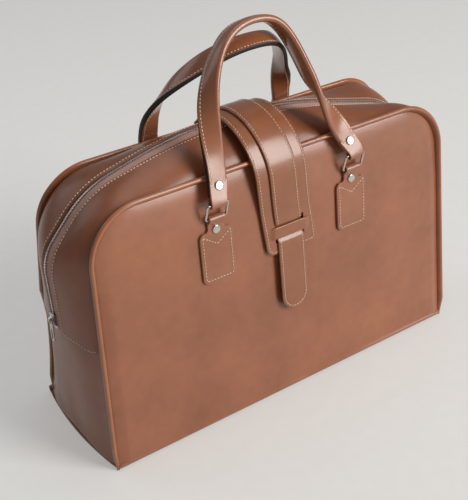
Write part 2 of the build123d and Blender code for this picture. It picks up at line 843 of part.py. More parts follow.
with BuildPart() as strap_wide:
    wide_run = strap_run + [front_at(tip_height, strap_stand_off)]
    wide_outer = shifted(wide_run, strap_wide_thick)
    grow = (strap_wide_thick, strap_wide_thick, -strap_wide_thick)
    with BuildSketch(Plane.YZ):
        with BuildLine():
            FilletPolyline(*wide_run, radius=strap_radii)
            FilletPolyline(*wide_outer, radius=[r + more for r, more in zip(strap_radii, grow)])
            root_middle = (Vector(*wide_run[0]) + Vector(*wide_outer[0])) / 2
            root_back = (Vector(*wide_run[0]) - Vector(*wide_run[1])).normalized()
            root_tip = root_middle + root_back * (strap_wide_thick / 2)
            ThreePointArc(wide_run[0], root_tip, wide_outer[0])
            Line(wide_run[-1], wide_outer[-1])
        make_face()
    extrude(amount=panel_width_top / 2, both=True)
    with BuildSketch(Plane.XZ) as wide_outline:
        with BuildLine():
            Polyline(
                (strap_x - strap_wide_width / 2, strap_end_height),
                (strap_x + strap_wide_width / 2, strap_end_height),
                (strap_axis(strap_top) + strap_wide_width / 2, strap_top),
                (strap_axis(strap_top) - strap_wide_width / 2, strap_top),
                close=True,
            )
        make_face()
        fillet(wide_outline.vertices().group_by(Axis.Y)[0], strap_wide_corner)
    extrude(amount=depth_bottom, both=True, mode=Mode.INTERSECT)
    band_foot = on_front(band_x, band_low / cos(lean), 0)
    with BuildSketch(Plane(origin=band_foot, x_dir=(-1, 0, 0), z_dir=panel_up)):
        with BuildLine():
            inner_half = tunnel_half + band_wall / 2
            Polyline(
                (-inner_half - band_side, strap_stand_off + strap_wide_thick / 2),
                (-inner_half, band_floor + band_wall),
                (inner_half, band_floor + band_wall),
                (inner_half + band_side, strap_stand_off + strap_wide_thick / 2),
                close=True,
            )
        make_face()
    extrude(amount=band_height)
    with BuildSketch(front_plane):
        with Locations((band_x, (band_low + band_high) / 2 / cos(lean))):
            Rectangle(2 * tunnel_half, band_height + 2 * slit_height)
    extrude(amount=band_floor, mode=Mode.SUBTRACT)
strap_wide.part.label = "strap_wide"
export_step(strap_wide.part, "parts/strap_wide.step")

with BuildPart() as strap_narrow:
    step = move_gap * 2
    over_run = shifted(strap_run, narrow_off - strap_stand_off)[:3]
    dip_run = [
        front_at(panel_height - strap_lay_drop, narrow_off),
        front_at(band_high + slit_height - step, narrow_off),
        front_at(band_high + step, strap_stand_off),
        front_at(band_low - step, strap_stand_off),
        front_at(band_low - slit_height + step, narrow_off),
        front_at(tip_height - strap_wide_corner, narrow_off),
    ]
    narrow_run = over_run + dip_run
    narrow_outer = shifted(narrow_run, strap_narrow_thick)
    rise = narrow_off - strap_stand_off
    inner_radii = [strap_radii[0] + rise, strap_radii[1] + rise, strap_radii[2] - rise]
    inner_radii += [dip_radius, dip_radius, dip_radius, dip_radius]
    outer_turn = (1, 1, -1, 1, -1, -1, 1)
    outer_radii = [r + turn * strap_narrow_thick for r, turn in zip(inner_radii, outer_turn)]
    with BuildSketch(Plane.YZ):
        with BuildLine():
            FilletPolyline(*narrow_run, radius=inner_radii)
            FilletPolyline(*narrow_outer, radius=outer_radii)
            Line(narrow_run[0], narrow_outer[0])
            Line(narrow_run[-1], narrow_outer[-1])
        make_face()
    extrude(amount=panel_width_top / 2, both=True)
    with BuildSketch(Plane.XZ):
        half = strap_narrow_width / 2
        tip_x = strap_x + tongue_shift
        with BuildLine():
            Polyline(
                (tip_x - half, tip_height + half),
                (band_x - half, band_low),
                (strap_axis(strap_top) - half, strap_top + rise * 2),
                (strap_axis(strap_top) + half, strap_top + rise * 2),
                (band_x + half, band_low),
                (tip_x + half, tip_height + half),
            )
            ThreePointArc(
                (tip_x - half, tip_height + half),
                (tip_x, tip_height),
                (tip_x + half, tip_height + half),
            )
        make_face()
    extrude(amount=depth_bottom, both=True, mode=Mode.INTERSECT)
strap_narrow.part.label = "strap_narrow"
export_step(strap_narrow.part, "parts/strap_narrow.step")


# Press stud: the stud is on the face of the bag, its socket behind the tongue
stud_place = (strap_x + tongue_shift, (strap_end_height - stud_drop) / cos(lean))
with BuildPart() as snap_stud:
    with BuildSketch(front_plane.offset(rivet_gap)):
        with Locations(stud_place):
            Circle(stud_base_radius)
    extrude(amount=stud_base_thick)
    with BuildSketch(front_plane.offset(rivet_gap + stud_base_thick)):
        with Locations(stud_place):
            Circle(stud_radius)
    extrude(amount=stud_rise)
snap_stud.part.label = "snap_stud"
export_step(snap_stud.part, "parts/snap_stud.step")

with BuildPart() as snap_socket:
    with BuildSketch(front_plane.offset(narrow_off - rivet_gap)):
        with Locations(stud_place):
            Circle(socket_outer_radius)
            Circle(socket_inner_radius, mode=Mode.SUBTRACT)
    extrude(amount=-socket_thick)
snap_socket.part.label = "snap_socket"
export_step(snap_socket.part, "parts/snap_socket.step")
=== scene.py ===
from math import atan, cos, hypot, pi, radians, sin, sqrt, tan

import bpy
import numpy as np
from mathutils import Matrix, Vector, noise


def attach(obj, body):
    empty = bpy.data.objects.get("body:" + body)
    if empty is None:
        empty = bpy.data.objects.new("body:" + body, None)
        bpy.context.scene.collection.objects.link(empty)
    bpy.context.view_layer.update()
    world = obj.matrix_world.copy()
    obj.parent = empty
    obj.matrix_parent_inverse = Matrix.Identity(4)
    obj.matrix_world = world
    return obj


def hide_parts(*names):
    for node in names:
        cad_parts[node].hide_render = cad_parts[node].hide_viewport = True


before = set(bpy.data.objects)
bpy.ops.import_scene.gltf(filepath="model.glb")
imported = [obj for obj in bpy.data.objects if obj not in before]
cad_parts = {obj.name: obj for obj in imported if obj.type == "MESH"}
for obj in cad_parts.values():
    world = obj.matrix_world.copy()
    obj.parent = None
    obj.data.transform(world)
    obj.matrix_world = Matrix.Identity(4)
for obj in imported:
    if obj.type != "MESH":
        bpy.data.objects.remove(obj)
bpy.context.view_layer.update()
print("frame loaded")

mm = 0.001  # the shapes below are in millimetres, the meshes in metres
ends = ((-1, "Front"), (1, "Back"))
hands = ((-1, "Left"), (1, "Right"))

bag = {
    "baseWidth": 460,
    "topWidth": 440,
    "height": 281,
    "baseDepth": 164,
    "topDepth": 106,
    "corner": 54,
    "hem": 146,
    "backPull": 5.5,
}
lean = atan((bag["baseDepth"] - bag["topDepth"]) / 2 / bag["height"])
slant = bag["height"] / cos(lean)
taper = atan((bag["baseWidth"] - bag["topWidth"]) / 2 / slant)


# Places on the bag

def steps(start, end, count):
    # count + 1 values at equal distances
    return [start + (end - start) * k / count for k in range(count + 1)]


def onFace(side, u, v, d):
    # side -1 is the front and 1 the back; v runs up the face, d away from it
    y = bag["baseDepth"] / 2 - v * sin(lean) + d * cos(lean)
    return Vector((u, side * y, v * cos(lean) + d * sin(lean)))


def wayOut(side):
    return (onFace(side, 0, 0, 1) - onFace(side, 0, 0, 0)).normalized()


def halfWidth(v, out=0):
    return bag["baseWidth"] / 2 - v * tan(taper) + out / cos(taper)


def drawnIn(side, v):
    # below the hem the soft back edges are drawn in
    if side < 0 or v > bag["hem"]:
        return 0
    return bag["backPull"] * sin(pi * (v / bag["hem"]) ** 0.8) ** 0.6


def edgePoints(startV, out):
    top = slant + out
    left = [(-halfWidth(startV, out), startV), (-halfWidth(top, out), top)]
    return left + [(-u, v) for u, v in reversed(left)]


def roundedPath(points, radii, step=3.0):
    # straight runs joined by arcs
    points = [Vector(point) for point in points]
    path = [points[0]]
    for i, radius in enumerate(radii, 1):
        before = (points[i - 1] - points[i]).normalized()
        after = (points[i + 1] - points[i]).normalized()
        half = before.angle(after) / 2
        start = points[i] + before * (radius / tan(half))
        middle = points[i] + (before + after).normalized() * (radius / sin(half))
        turn = pi - 2 * half
        for angle in steps(0, turn, max(4, int(radius * turn / step))):
            path.append(middle + (start - middle) * cos(angle) - before * (radius * sin(angle)))
    path.append(points[-1])
    return path


def distances(path):
    # how far along the path each point lies
    found = [0]
    for a, b in zip(path, path[1:]):
        found.append(found[-1] + (b - a).length)
    return found


def evenly(path, count):
    # the same path as count + 1 points at equal distances
    lengths = distances(path)
    found = []
    at = 0
    for want in steps(0, lengths[-1], count):
        while at < len(path) - 2 and lengths[at + 1] < want:
            at += 1
        span = lengths[at + 1] - lengths[at]
        share = (want - lengths[at]) / span if span else 0
        found.append(path[at].lerp(path[at + 1], min(max(share, 0), 1)))
    return found


def pathLength(path):
    return distances(path)[-1]


def tangents(path):
    ahead = path[1:] + [path[-1] * 2 - path[-2]]
    behind = [path[0] * 2 - path[1]] + path[:-1]
    return [(a - b).normalized() for a, b in zip(ahead, behind)]


def smoothStep(x):
    x = min(max(x, 0), 1)
    return x * x * (3 - 2 * x)


def rollOff(distance, width, depth):
    # how far a soft edge has turned in at this distance from its seam
    if distance >= width:
        return 0
    return depth * (1 - sqrt(max(0, 1 - (1 - distance / width) ** 2)))


def roundedHalf(half, radius, rise):
    # half the width of a strap, this far into a rounded corner
    return half - radius + sqrt(max(0, radius**2 - rise**2))


def ripple(point, size, seed):
    return noise.noise(point / size + Vector((seed, seed * 1.7, -seed)))


# Mesh helpers

def selectOnly(obj):
    bpy.ops.object.select_all(action="DESELECT")
    obj.select_set(True)
    bpy.context.view_layer.objects.active = obj


def applyModifier(obj, kind, **settings):
    selectOnly(obj)
    bpy.ops.object.modifier_add(type=kind)
    modifier = obj.modifiers[-1]
    for key, value in settings.items():
        setattr(modifier, key, value)
    bpy.ops.object.modifier_apply(modifier=modifier.name)


def editFaces(obj, operator, **settings):
    selectOnly(obj)
    bpy.ops.object.mode_set(mode="EDIT")
    bpy.ops.mesh.select_all(action="SELECT")
    operator(**settings)
    bpy.ops.object.mode_set(mode="OBJECT")


def recalculate(obj):
    editFaces(obj, bpy.ops.mesh.normals_make_consistent, inside=False)


def flipFaces(obj):
    editFaces(obj, bpy.ops.mesh.flip_normals)


def turnOutward(obj, direction):
    # an open sheet has no inside, so the sum of its faces decides
    total = Vector()
    for face in obj.data.polygons:
        total += face.normal * face.area
    if total.dot(direction) < 0:
        flipFaces(obj)


def meshPiece(name, points, faces):
    # points in millimetres
    mesh = bpy.data.meshes.new(name)
    mesh.from_pydata([point * mm for point in points], [], faces)
    obj = bpy.data.objects.new(name, mesh)
    bpy.context.scene.collection.objects.link(obj)
    return obj


def smoothFaces(obj):
    obj.data.polygons.foreach_set("use_smooth", [True] * len(obj.data.polygons))


def unitCube():
    bpy.ops.object.select_all(action="DESELECT")
    bpy.ops.mesh.primitive_cube_add(size=1, location=(0, 0, 0))
    return bpy.context.object


def gridPiece(name, rows, tube=False):
    # a sheet or a closed tube from rows of points; the UV map holds metres across and along
    count = len(rows[0])
    span = count if tube else count - 1
    faces = []
    corners = []
    for r in range(len(rows) - 1):
        for c in range(span):
            d = (c + 1) % count
            low = r * count
            faces.append((low + c, low + d, low + count + d, low + count + c))
            corners += [(r, c), (r, c + 1), (r + 1, c + 1), (r + 1, c)]
    if tube:
        last = len(rows) - 1
        faces.append(tuple(reversed(range(count))))
        corners += [(0, c) for c in reversed(range(count))]
        faces.append(tuple(range(last * count, last * count + count)))
        corners += [(last, c) for c in range(count)]
    along = distances([row[count // 2] for row in rows])
    middle = list(rows[len(rows) // 2])
    across = distances(middle + middle[:1])
    obj = meshPiece(name, [point for row in rows for point in row], faces)
    layer = obj.data.uv_layers.new(name="cloth")
    layer.data.foreach_set("uv", [x * mm for r, c in corners for x in (across[c], along[r])])
    smoothFaces(obj)
    obj.data.update()
    if tube:
        recalculate(obj)
    return obj


def arcPoints(x, y, radius, start, end, count):
    # start and end in quarter turns
    angles = steps(start * pi / 2, end * pi / 2, count)
    return [(x + radius * cos(angle), y + radius * sin(angle)) for angle in angles]


def strapSection(half, thick, crown, edge):
    # a flat strap's section: (across, outward) points, counted round from one upper corner
    topSteps, underSteps, upperTurn, lowerTurn = 14, 6, 4, 3
    edge = min(edge, half * 0.45, thick * 0.48)
    flat, high = half - edge, thick / 2 - edge
    top = steps(-flat, flat, topSteps)
    points = [(a, thick / 2 + crown * (1 - (a / half) ** 2)) for a in top]
    points += arcPoints(flat, high, edge, 1, 0, upperTurn)[1:-1]
    points += arcPoints(flat, -high, edge, 0, -1, lowerTurn)
    points += [(a, -thick / 2) for a in steps(flat, -flat, underSteps)[1:-1]]
    points += arcPoints(-flat, -high, edge, -1, -2, lowerTurn)
    return points + arcPoints(-flat, high, edge, 2, 1, upperTurn)[1:-1]


def ribbon(name, stations):
    # each station: centre, across, outward, section
    rows = []
    for centre, across, outward, section in stations:
        rows.append([centre + across * a + outward * n for a, n in section])
    return gridPiece(name, rows, tube=True)


def dress(obj, material, body, slotName, *nodes):
    obj.data.materials.append(material)
    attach(obj, body)
    if nodes:
        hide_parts(*nodes)


def thicken(obj, thick):
    applyModifier(obj, "SOLIDIFY", thickness=thick * mm, offset=-1)


stitch = {
    "pitch": 3.7,
    "length": 2.45,
    "radius": 0.5,
    "sink": 0.08,
    "sides": 6,
    "rings": ((-0.5, 0.35), (-0.32, 1.0), (0.32, 1.0), (0.5, 0.35)),  # share of the length, size
    "endDip": 0.9,
}


def stitchRun(path, outward):
    # thread along a path: small rounded bars, half sunk in the leather
    count = max(2, int(pathLength(path) / stitch["pitch"]))
    places = evenly(path, count * 2)
    normals = evenly(outward, count * 2)
    radius, sides, rings = stitch["radius"], stitch["sides"], stitch["rings"]
    points = []
    faces = []
    for k in range(1, count * 2, 2):
        along = (places[k + 1] - places[k - 1]).normalized()
        up = normals[k].normalized()
        up = (up - along * up.dot(along)).normalized()
        over = along.cross(up)
        centre = places[k] + up * (radius / 2 - stitch["sink"])
        first = len(points)
        for share, size in rings:
            middle = centre + along * (stitch["length"] * share)
            middle += up * (radius * stitch["endDip"] * (size - 1))
            for angle in steps(0, 2 * pi, sides)[:-1]:
                points.append(middle + (over * cos(angle) + up * sin(angle)) * (radius * size))
        for r in range(len(rings) - 1):
            for j in range(sides):
                a = first + r * sides + j
                b = first + r * sides + (j + 1) % sides
                faces.append((a, b, b + sides, a + sides))
        faces.append(tuple(first + j for j in reversed(range(sides))))
        faces.append(tuple(first + (len(rings) - 1) * sides + j for j in range(sides)))
    return points, faces


def stitchPiece(name, runs, body):
    points = []
    faces = []
    for path, outward in runs:
        morePoints, moreFaces = stitchRun(path, outward)
        faces += [tuple(i + len(points) for i in face) for face in moreFaces]
        points += morePoints
    obj = meshPiece(name, points, faces)
    smoothFaces(obj)
    recalculate(obj)
    dress(obj, thread, body, "zip_tape")


# Finishes

def setInputs(node, inputs):
    for key, value in inputs.items():
        node.inputs[key].default_value = value


def newMaterial(name, **inputs):
    material = bpy.data.materials.new(name)
    material.use_nodes = True
    shader = material.node_tree.nodes["Principled BSDF"]
    setInputs(shader, inputs)
    return material, material.node_tree, shader.inputs


def addNode(tree, kind, **inputs):
    node = tree.nodes.new(kind)
    setInputs(node, inputs)
    return node


def addMath(tree, operation, *inputs):
    # each input is a number or another node's output
    node = tree.nodes.new("ShaderNodeMath")
    node.operation = operation
    for socket, value in zip(node.inputs, inputs):
        if isinstance(value, float):
            socket.default_value = value
        else:
            tree.links.new(value, socket)
    return node.outputs[0]


def pattern(tree, kind, output, **inputs):
    # a texture that runs through the whole object
    node = addNode(tree, kind, **inputs)
    place = tree.nodes.new("ShaderNodeTexCoord")
    tree.links.new(place.outputs["Object"], node.inputs["Vector"])
    return node.outputs[output]


def twoTone(tree, source, target, dark, light, start=0.0, end=1.0):
    ramp = tree.nodes.new("ShaderNodeValToRGB")
    for stop, place, color in zip(ramp.color_ramp.elements, (start, end), (dark, light)):
        stop.position = place
        stop.color = (*color, 1)
    tree.links.new(source, ramp.inputs["Fac"])
    tree.links.new(ramp.outputs["Color"], target)
    return ramp.outputs["Color"]


def spread(tree, source, target, low, high):
    node = addNode(tree, "ShaderNodeMapRange", **{"To Min": low, "To Max": high})
    tree.links.new(source, node.inputs["Value"])
    tree.links.new(node.outputs["Result"], target)


def addBump(tree, height, target, strength, distance):
    node = addNode(tree, "ShaderNodeBump", Strength=strength, Distance=distance)
    tree.links.new(height, node.inputs["Height"])
    tree.links.new(node.outputs["Normal"], target)
    return node.inputs["Normal"]


def leather(name, dark, light, gloss=0.33, coat=0.5):
    # grained leather cloth: cloudy colour, fine pores and a thin glossy finish
    material, tree, sockets = newMaterial(name, **{"Coat Weight": coat, "Coat Roughness": 0.19})
    clouds = pattern(tree, "ShaderNodeTexNoise", "Fac", Scale=11.0, Detail=5.0, Roughness=0.55)
    specks = pattern(tree, "ShaderNodeTexNoise", "Fac", Scale=95.0, Detail=3.0)
    grain = pattern(tree, "ShaderNodeTexVoronoi", "Distance", Scale=950.0)
    mixed = addMath(tree, "MULTIPLY_ADD", specks, 0.3, clouds)
    twoTone(tree, mixed, sockets["Base Color"], dark, light, 0.42, 0.9)
    spread(tree, clouds, sockets["Roughness"], gloss - 0.05, gloss + 0.09)
    under = addBump(tree, specks, sockets["Normal"], 0.12, 0.0012)
    addBump(tree, grain, under, 0.06, 0.0004)
    return material


def metal(name, color, rough):
    # plated metal with faint rubbing marks
    material, tree, sockets = newMaterial(name, Metallic=1.0)
    rub = pattern(tree, "ShaderNodeTexNoise", "Fac", Scale=420.0, Detail=4.0)
    twoTone(tree, rub, sockets["Base Color"], [c * 0.78 for c in color], color, 0.3, 0.62)
    spread(tree, rub, sockets["Roughness"], rough * 0.7, rough * 1.5)
    return material


def woven(name, dark, light):
    # zip tape: close warp and weft on the strip's own map
    material, tree, sockets = newMaterial(name, Roughness=0.75)
    place = tree.nodes.new("ShaderNodeUVMap")
    place.uv_map = "cloth"
    bands = []
    for direction in ("X", "Y"):
        wave = addNode(tree, "ShaderNodeTexWave", Scale=420.0, Distortion=0.6)
        wave.bands_direction = direction
        tree.links.new(place.outputs["UV"], wave.inputs["Vector"])
        bands.append(wave.outputs["Fac"])
    both = addMath(tree, "MULTIPLY", *bands)
    twoTone(tree, both, sockets["Base Color"], dark, light)
    addBump(tree, both, sockets["Normal"], 0.35, 0.0003)
    return material


def threadFinish(name, dark, light):
    # waxed thread with a slight twist of tone
    material, tree, sockets = newMaterial(name, Roughness=0.6)
    twist = pattern(tree, "ShaderNodeTexNoise", "Fac", Scale=700.0, Detail=2.0)
    twoTone(tree, twist, sockets["Base Color"], dark, light, 0.35, 0.65)
    return material


bodyLeather = leather("bodyLeather", (0.255, 0.082, 0.034), (0.375, 0.13, 0.056))
# the upper gusset and side panels take the body's leather painted darker: painted shade for the
# faces turned from the light
shadedGussetLeather = leather("shadedGussetLeather", (0.21, 0.064, 0.024), (0.305, 0.099, 0.04), coat=0.16)
pipingLeather = leather("pipingLeather", (0.3, 0.1, 0.041), (0.42, 0.152, 0.066), 0.27)
tabLeather = leather("tabLeather", (0.265, 0.088, 0.037), (0.37, 0.132, 0.059))
handleLeather = leather("handleLeather", (0.26, 0.086, 0.036), (0.37, 0.131, 0.057), 0.27, 0.6)
strapLeather = leather("strapLeather", (0.25, 0.083, 0.034), (0.355, 0.126, 0.054), 0.3)
cutEdge = leather("cutEdge", (0.008, 0.005, 0.004), (0.016, 0.01, 0.008), 0.62, 0.0)
boardFinish = leather("boardFinish", (0.1, 0.07, 0.05), (0.16, 0.12, 0.09), 0.7, 0.0)
nickel = metal("nickel", (0.58, 0.565, 0.54), 0.19)
brightTeeth = metal("brightTeeth", (0.74, 0.72, 0.71), 0.28)
tapeCloth = woven("tapeCloth", (0.46, 0.245, 0.195), (0.66, 0.42, 0.35))
thread = threadFinish("thread", (0.6, 0.45, 0.3), (0.86, 0.74, 0.57))
print("finishes made")


# Body: front, base and back in one folded sheet whose edges roll in to the piping

wrap = {
    "thick": 2.2,
    "sideRoll": (14, 3.6),  # width and depth of the soft chamfer at the side seams
    "topRoll": (14, 1.3),
    "topDome": (58, 3.4),
    "lip": (3, 0.8),
    "upperFade": (95, 60),  # the side chamfer gives way to the top's over this stretch
    "footBend": 6,
    "foldShare": 0.9,
    "baseBulge": (7, 5),  # how far the base stands out at the sides, and the margin without it
    "cornerTurn": (8, 5.6, 1.6),  # margin on the base, width and depth of its turned corners
    "baseLift": 0.05,
    "wave": 0.75,
    "waveSize": 105,
    "waveLevel": 0.6,
    "fineWave": (0.12, 32),
    "edgeBand": (0, 0.5, 1.2, 2.1, 3.2, 4.5, 6, 7.8, 10, 12, 14, 16.5, 20, 25, 31),
    "columns": 56,
    "rowStep": 4.0,
    "cornerRows": 28,
    "baseSteps": 16,
    "seamAllowance": 14,
    "cutShare": 0.93,
}
cornerV = slant - bag["corner"]
cornerU = halfWidth(cornerV) - bag["corner"] / cos(taper)


def outlineHalf(v):
    if v <= cornerV:
        return halfWidth(v)
    return cornerU + sqrt(max(0, bag["corner"] ** 2 - (v - cornerV) ** 2))


def edgeDistance(u, v):
    u = abs(u)
    if u > cornerU and v > cornerV:
        return bag["corner"] - hypot(u - cornerU, v - cornerV)
    return min((halfWidth(v) - u) * cos(taper), slant - v)


def wrapColumns(half):
    band = wrap["edgeBand"]
    left = [-half + e for e in band]
    inner = half - band[-1]
    middle = steps(-inner, inner, wrap["columns"])[1:-1]
    return left + middle + [-u for u in reversed(left)]


def fallOff(distance, size, power):
    width, depth = size
    return depth * max(0, 1 - max(distance, 0) / width) ** power


def edgeFall(u, v):
    # how far the panel has turned back at this place
    distance = edgeDistance(u, v)
    fadeStart, fadeLength = wrap["upperFade"]
    upper = smoothStep((v - slant + fadeStart) / fadeLength)
    sides = fallOff(distance, wrap["sideRoll"], 1.4)
    top = fallOff(distance, wrap["topRoll"], 1.5) + fallOff(distance, wrap["topDome"], 2)
    return sides + (top - sides) * upper + fallOff(distance, wrap["lip"], 2)


def faceRow(side, v):
    row = []
    full = outlineHalf(v)
    narrow = (full - drawnIn(side, v)) / full if full else 1
    fineHeight, fineSize = wrap["fineWave"]
    for u in wrapColumns(full):
        flat = onFace(side, u * narrow, v, 0)
        wave = wrap["wave"] * (ripple(flat, wrap["waveSize"], 3.1) - wrap["waveLevel"])
        wave += fineHeight * ripple(flat, fineSize, 8.4)
        row.append(onFace(side, u * narrow, v, wave - edgeFall(u, v)))
    return row


def baseProfile(foot):
    # the fold under the bag in side view, from the front's lowest row to the back's
    half = bag["baseDepth"] / 2
    inner, rise = half - foot * sin(lean), foot * cos(lean)
    fold = [(-inner, rise), (-half, 0), (half, 0), (inner, rise)]
    profile = roundedPath(fold, [wrap["footBend"] * wrap["foldShare"]] * 2, step=1.0)[1:-1]
    gaps = [(b - a).length for a, b in zip(profile, profile[1:])]
    flat = gaps.index(max(gaps))
    filled = steps(profile[flat], profile[flat + 1], wrap["baseSteps"])
    return profile[:flat] + filled + profile[flat + 2 :]


def baseRow(y, z):
    half = bag["baseDepth"] / 2
    bulge, margin = wrap["baseBulge"]
    wide = halfWidth(z) + bulge * max(0, 1 - (y / (half - margin)) ** 2)
    turnMargin, turnWidth, turnDepth = wrap["cornerTurn"]
    row = []
    for u in wrapColumns(wide):
        turn = 0
        if abs(y) > half - turnMargin:
            turn = rollOff(max(0, wide - abs(u)), turnWidth, turnDepth)
        row.append(Vector((u, y + turn * (1 if y < 0 else -1), z + wrap["baseLift"])))
    return row


def makeWrap():
    turns = steps(0, pi / 2, wrap["cornerRows"])
    heights = [cornerV + bag["corner"] * cos(angle) for angle in turns]
    foot = wrap["footBend"] * (tan(pi / 4 - lean / 2) / cos(lean) + 0.25)
    count = int((cornerV - foot) / wrap["rowStep"])
    heights += steps(cornerV, foot, count)[1:]
    front = [faceRow(-1, v) for v in heights]
    back = [faceRow(1, v) for v in reversed(heights)]
    base = [baseRow(y, z) for y, z in baseProfile(foot)]
    obj = gridPiece("bodyWrap", front + base + back)
    columns = len(front[0])
    middle = obj.data.polygons[len(front) // 2 * (columns - 1) + columns // 2]
    if middle.normal.y > 0:
        flipFaces(obj)
    thicken(obj, wrap["thick"])
    dress(obj, bodyLeather, "bag", "body_leather", "body_wrap")


makeWrap()
print("body made")


# Piping round the edge of each face

pipe = {
    "radius": 2.45,
    "backSet": 2.0,
    "gap": 0.35,
    "foot": 1.0,
    "flange": (5.2, -3.6),  # where the sewn-in flange ends: inward and outward from the cord
    "flangeHalf": 0.5,
    "round": (50, 310),  # degrees: from where to where the cord is round
    "uneven": (0.035, 14),  # share of the radius that varies, and over what length
    "rows": 420,
    "sides": 16,
    "footBend": (26, 3.0, 2.0),  # height, way in and way back of the turn at the floor
    "footShrink": 0.3,
    "floorGap": 0.1,
    "backTuck": (2.6, 40),  # way of the back cord under the wrap, and the height it takes
}


def makePiping(side, end):
    out = pipe["radius"] + pipe["gap"]
    flat = roundedPath(edgePoints(pipe["foot"], out), [bag["corner"] + out] * 2)
    flat = evenly(flat, pipe["rows"])
    tuck, tuckHeight = pipe["backTuck"]
    path = []
    for u, v in flat:
        pull = drawnIn(side, v)
        if side > 0:
            pull += tuck * smoothStep((bag["hem"] - v) / tuckHeight)
        path.append(onFace(side, u + (pull if u < 0 else -pull), v, -pipe["backSet"]))
    outward = wayOut(side)
    tailIn, tailOut = pipe["flange"]
    reach = hypot(tailIn, tailOut)
    high, wayIn, wayBack = pipe["footBend"]
    turns = [radians(angle) for angle in steps(*pipe["round"], pipe["sides"])]
    vary, varySize = pipe["uneven"]
    rows = []
    for point, along, (_, v) in zip(path, tangents(path), flat):
        inward = along.cross(outward).normalized() * -side
        tail = (inward * tailIn + outward * tailOut) / reach
        over = tail.cross(along)
        bend = smoothStep((high - v) / high)
        centre = point + inward * (wayIn * bend) - outward * (wayBack * bend)
        radius = pipe["radius"] * (1 - pipe["footShrink"] * bend)
        radius *= 1 + vary * ripple(point, varySize, 5.0)
        ring = [centre + (tail * cos(angle) + over * sin(angle)) * radius for angle in turns]
        for half in (-1, 1):
            ring.append(centre + tail * (reach - bend) + over * (half * pipe["flangeHalf"]))
        rows.append([Vector((p.x, p.y, max(p.z, pipe["floorGap"]))) for p in ring])
    obj = gridPiece(f"piping{end}", rows, tube=True)
    dress(obj, pipingLeather, "bag", "piping_leather", f"piping_{end.lower()}")


for side, end in ends:
    makePiping(side, end)
print("piping made")


# Side panels below the hem

sidePanel = {
    "thick": 1.8,
    "foot": 1.2,
    "top": 163,
    "seamIn": 3.6,
    "bulge": ((0, 84, 164), (7.0, 11.0, 14.4)),  # heights, and how far it stands out there
    "fuller": (140, 30),  # below this height, after this stretch, the bulge is fuller
    "inset": (0.6, 1.8),
    "pullFrom": 0.55,
    "wave": 2.2,
    "waveSize": 55,
    "waveLevel": 0.4,
    "waveTop": 150,
    "waveFade": 25,
    "roll": (9, 1.8),
    "footRoll": (7, 2.0),
    "columns": 48,
    "rows": 50,
    "flat": (158, 166),
    "cutShare": 0.86,
}


def sideAt(side, q, z):
    # q runs from -1 at the front seam to 1 at the back seam
    half = bag["baseDepth"] / 2 - z * tan(lean) - sidePanel["seamIn"]
    low, high = sidePanel["inset"]
    x = halfWidth(z / cos(lean)) - low - (high - low) * z / sidePanel["top"]
    y = q * half
    fullTop, fullStretch = sidePanel["fuller"]
    full = 2 + smoothStep((fullTop - z) / fullStretch)
    x += float(np.interp(z, *sidePanel["bulge"])) * (1 - abs(q) ** full)
    pullFrom = sidePanel["pullFrom"]
    x -= drawnIn(1, z) * smoothStep((q - pullFrom) / (1 - pullFrom))
    x -= rollOff((1 - abs(q)) * half, *sidePanel["roll"])
    x -= rollOff(z, *sidePanel["footRoll"])
    fade = sidePanel["waveFade"]
    soft = smoothStep((1 - abs(q)) * 4) * smoothStep(z / fade)
    soft *= smoothStep((sidePanel["waveTop"] - z) / fade)
    spot = Vector((side * 90, y * 1.5, z * 0.6))
    wave = ripple(spot, sidePanel["waveSize"], 2.2) - sidePanel["waveLevel"]
    return Vector((side * (x + soft * sidePanel["wave"] * wave), y, z))


def makeSidePanel(side, flank):
    heights = steps(sidePanel["foot"], sidePanel["top"], sidePanel["rows"])
    shares = [sin(angle) for angle in steps(-pi / 2, pi / 2, sidePanel["columns"])]
    obj = gridPiece(f"sidePanel{flank}", [[sideAt(side, q, z) for q in shares] for z in heights])
    turnOutward(obj, Vector((side, 0, 0)))
    thicken(obj, sidePanel["thick"])
    # the side panel's leather is painted darker than the body's, as painted shade
    dress(obj, shadedGussetLeather, "bag", "gusset_leather", f"side_gusset_{flank.lower()}")


for side, flank in hands:
    makeSidePanel(side, flank)
print("side panels made")


# Zip line and the two halves of the upper gusset

zipRun = {
    "standOut": 16.7,
    "endDrop": 4,
    "cornerOut": 25.5,
    "cornerDrop": (55, 66),
    "shoulderIn": (24, 30),
    "shoulderRise": (1, -13),
    "crownX": -25,
    "crownRise": 45,
    "cornerRadius": 45,
    "shoulderRadius": 100,
    "crownShare": 0.7,
    "openings": {-1: 9.4, 1: 5.0},
}
hemV = bag["hem"] / cos(lean)
zipLeft, zipRight = (
    [
        (hand * (halfWidth(hemV) + zipRun["standOut"]), 0, bag["hem"] - zipRun["endDrop"]),
        (hand * (bag["topWidth"] / 2 + zipRun["cornerOut"]), 0, bag["height"] - drop),
        (hand * (bag["topWidth"] / 2 - inward), 0, bag["height"] + rise),
    ]
    for hand, drop, inward, rise in zip(
        (-1, 1), zipRun["cornerDrop"], zipRun["shoulderIn"], zipRun["shoulderRise"]
    )
)
zipCrown = (zipRun["crownX"], 0, bag["height"] + zipRun["crownRise"])
leftArm = Vector(zipCrown) - Vector(zipLeft[-1])
rightArm = Vector(zipRight[-1]) - Vector(zipCrown)
crownReach = zipRun["crownShare"] * min(leftArm.length, rightArm.length)
crownRadius = crownReach / tan(leftArm.angle(rightArm) / 2)
sideRadii = [zipRun["cornerRadius"], zipRun["shoulderRadius"]]
zipPath = roundedPath(
    zipLeft + [zipCrown] + zipRight[::-1], sideRadii + [crownRadius] + sideRadii[::-1]
)

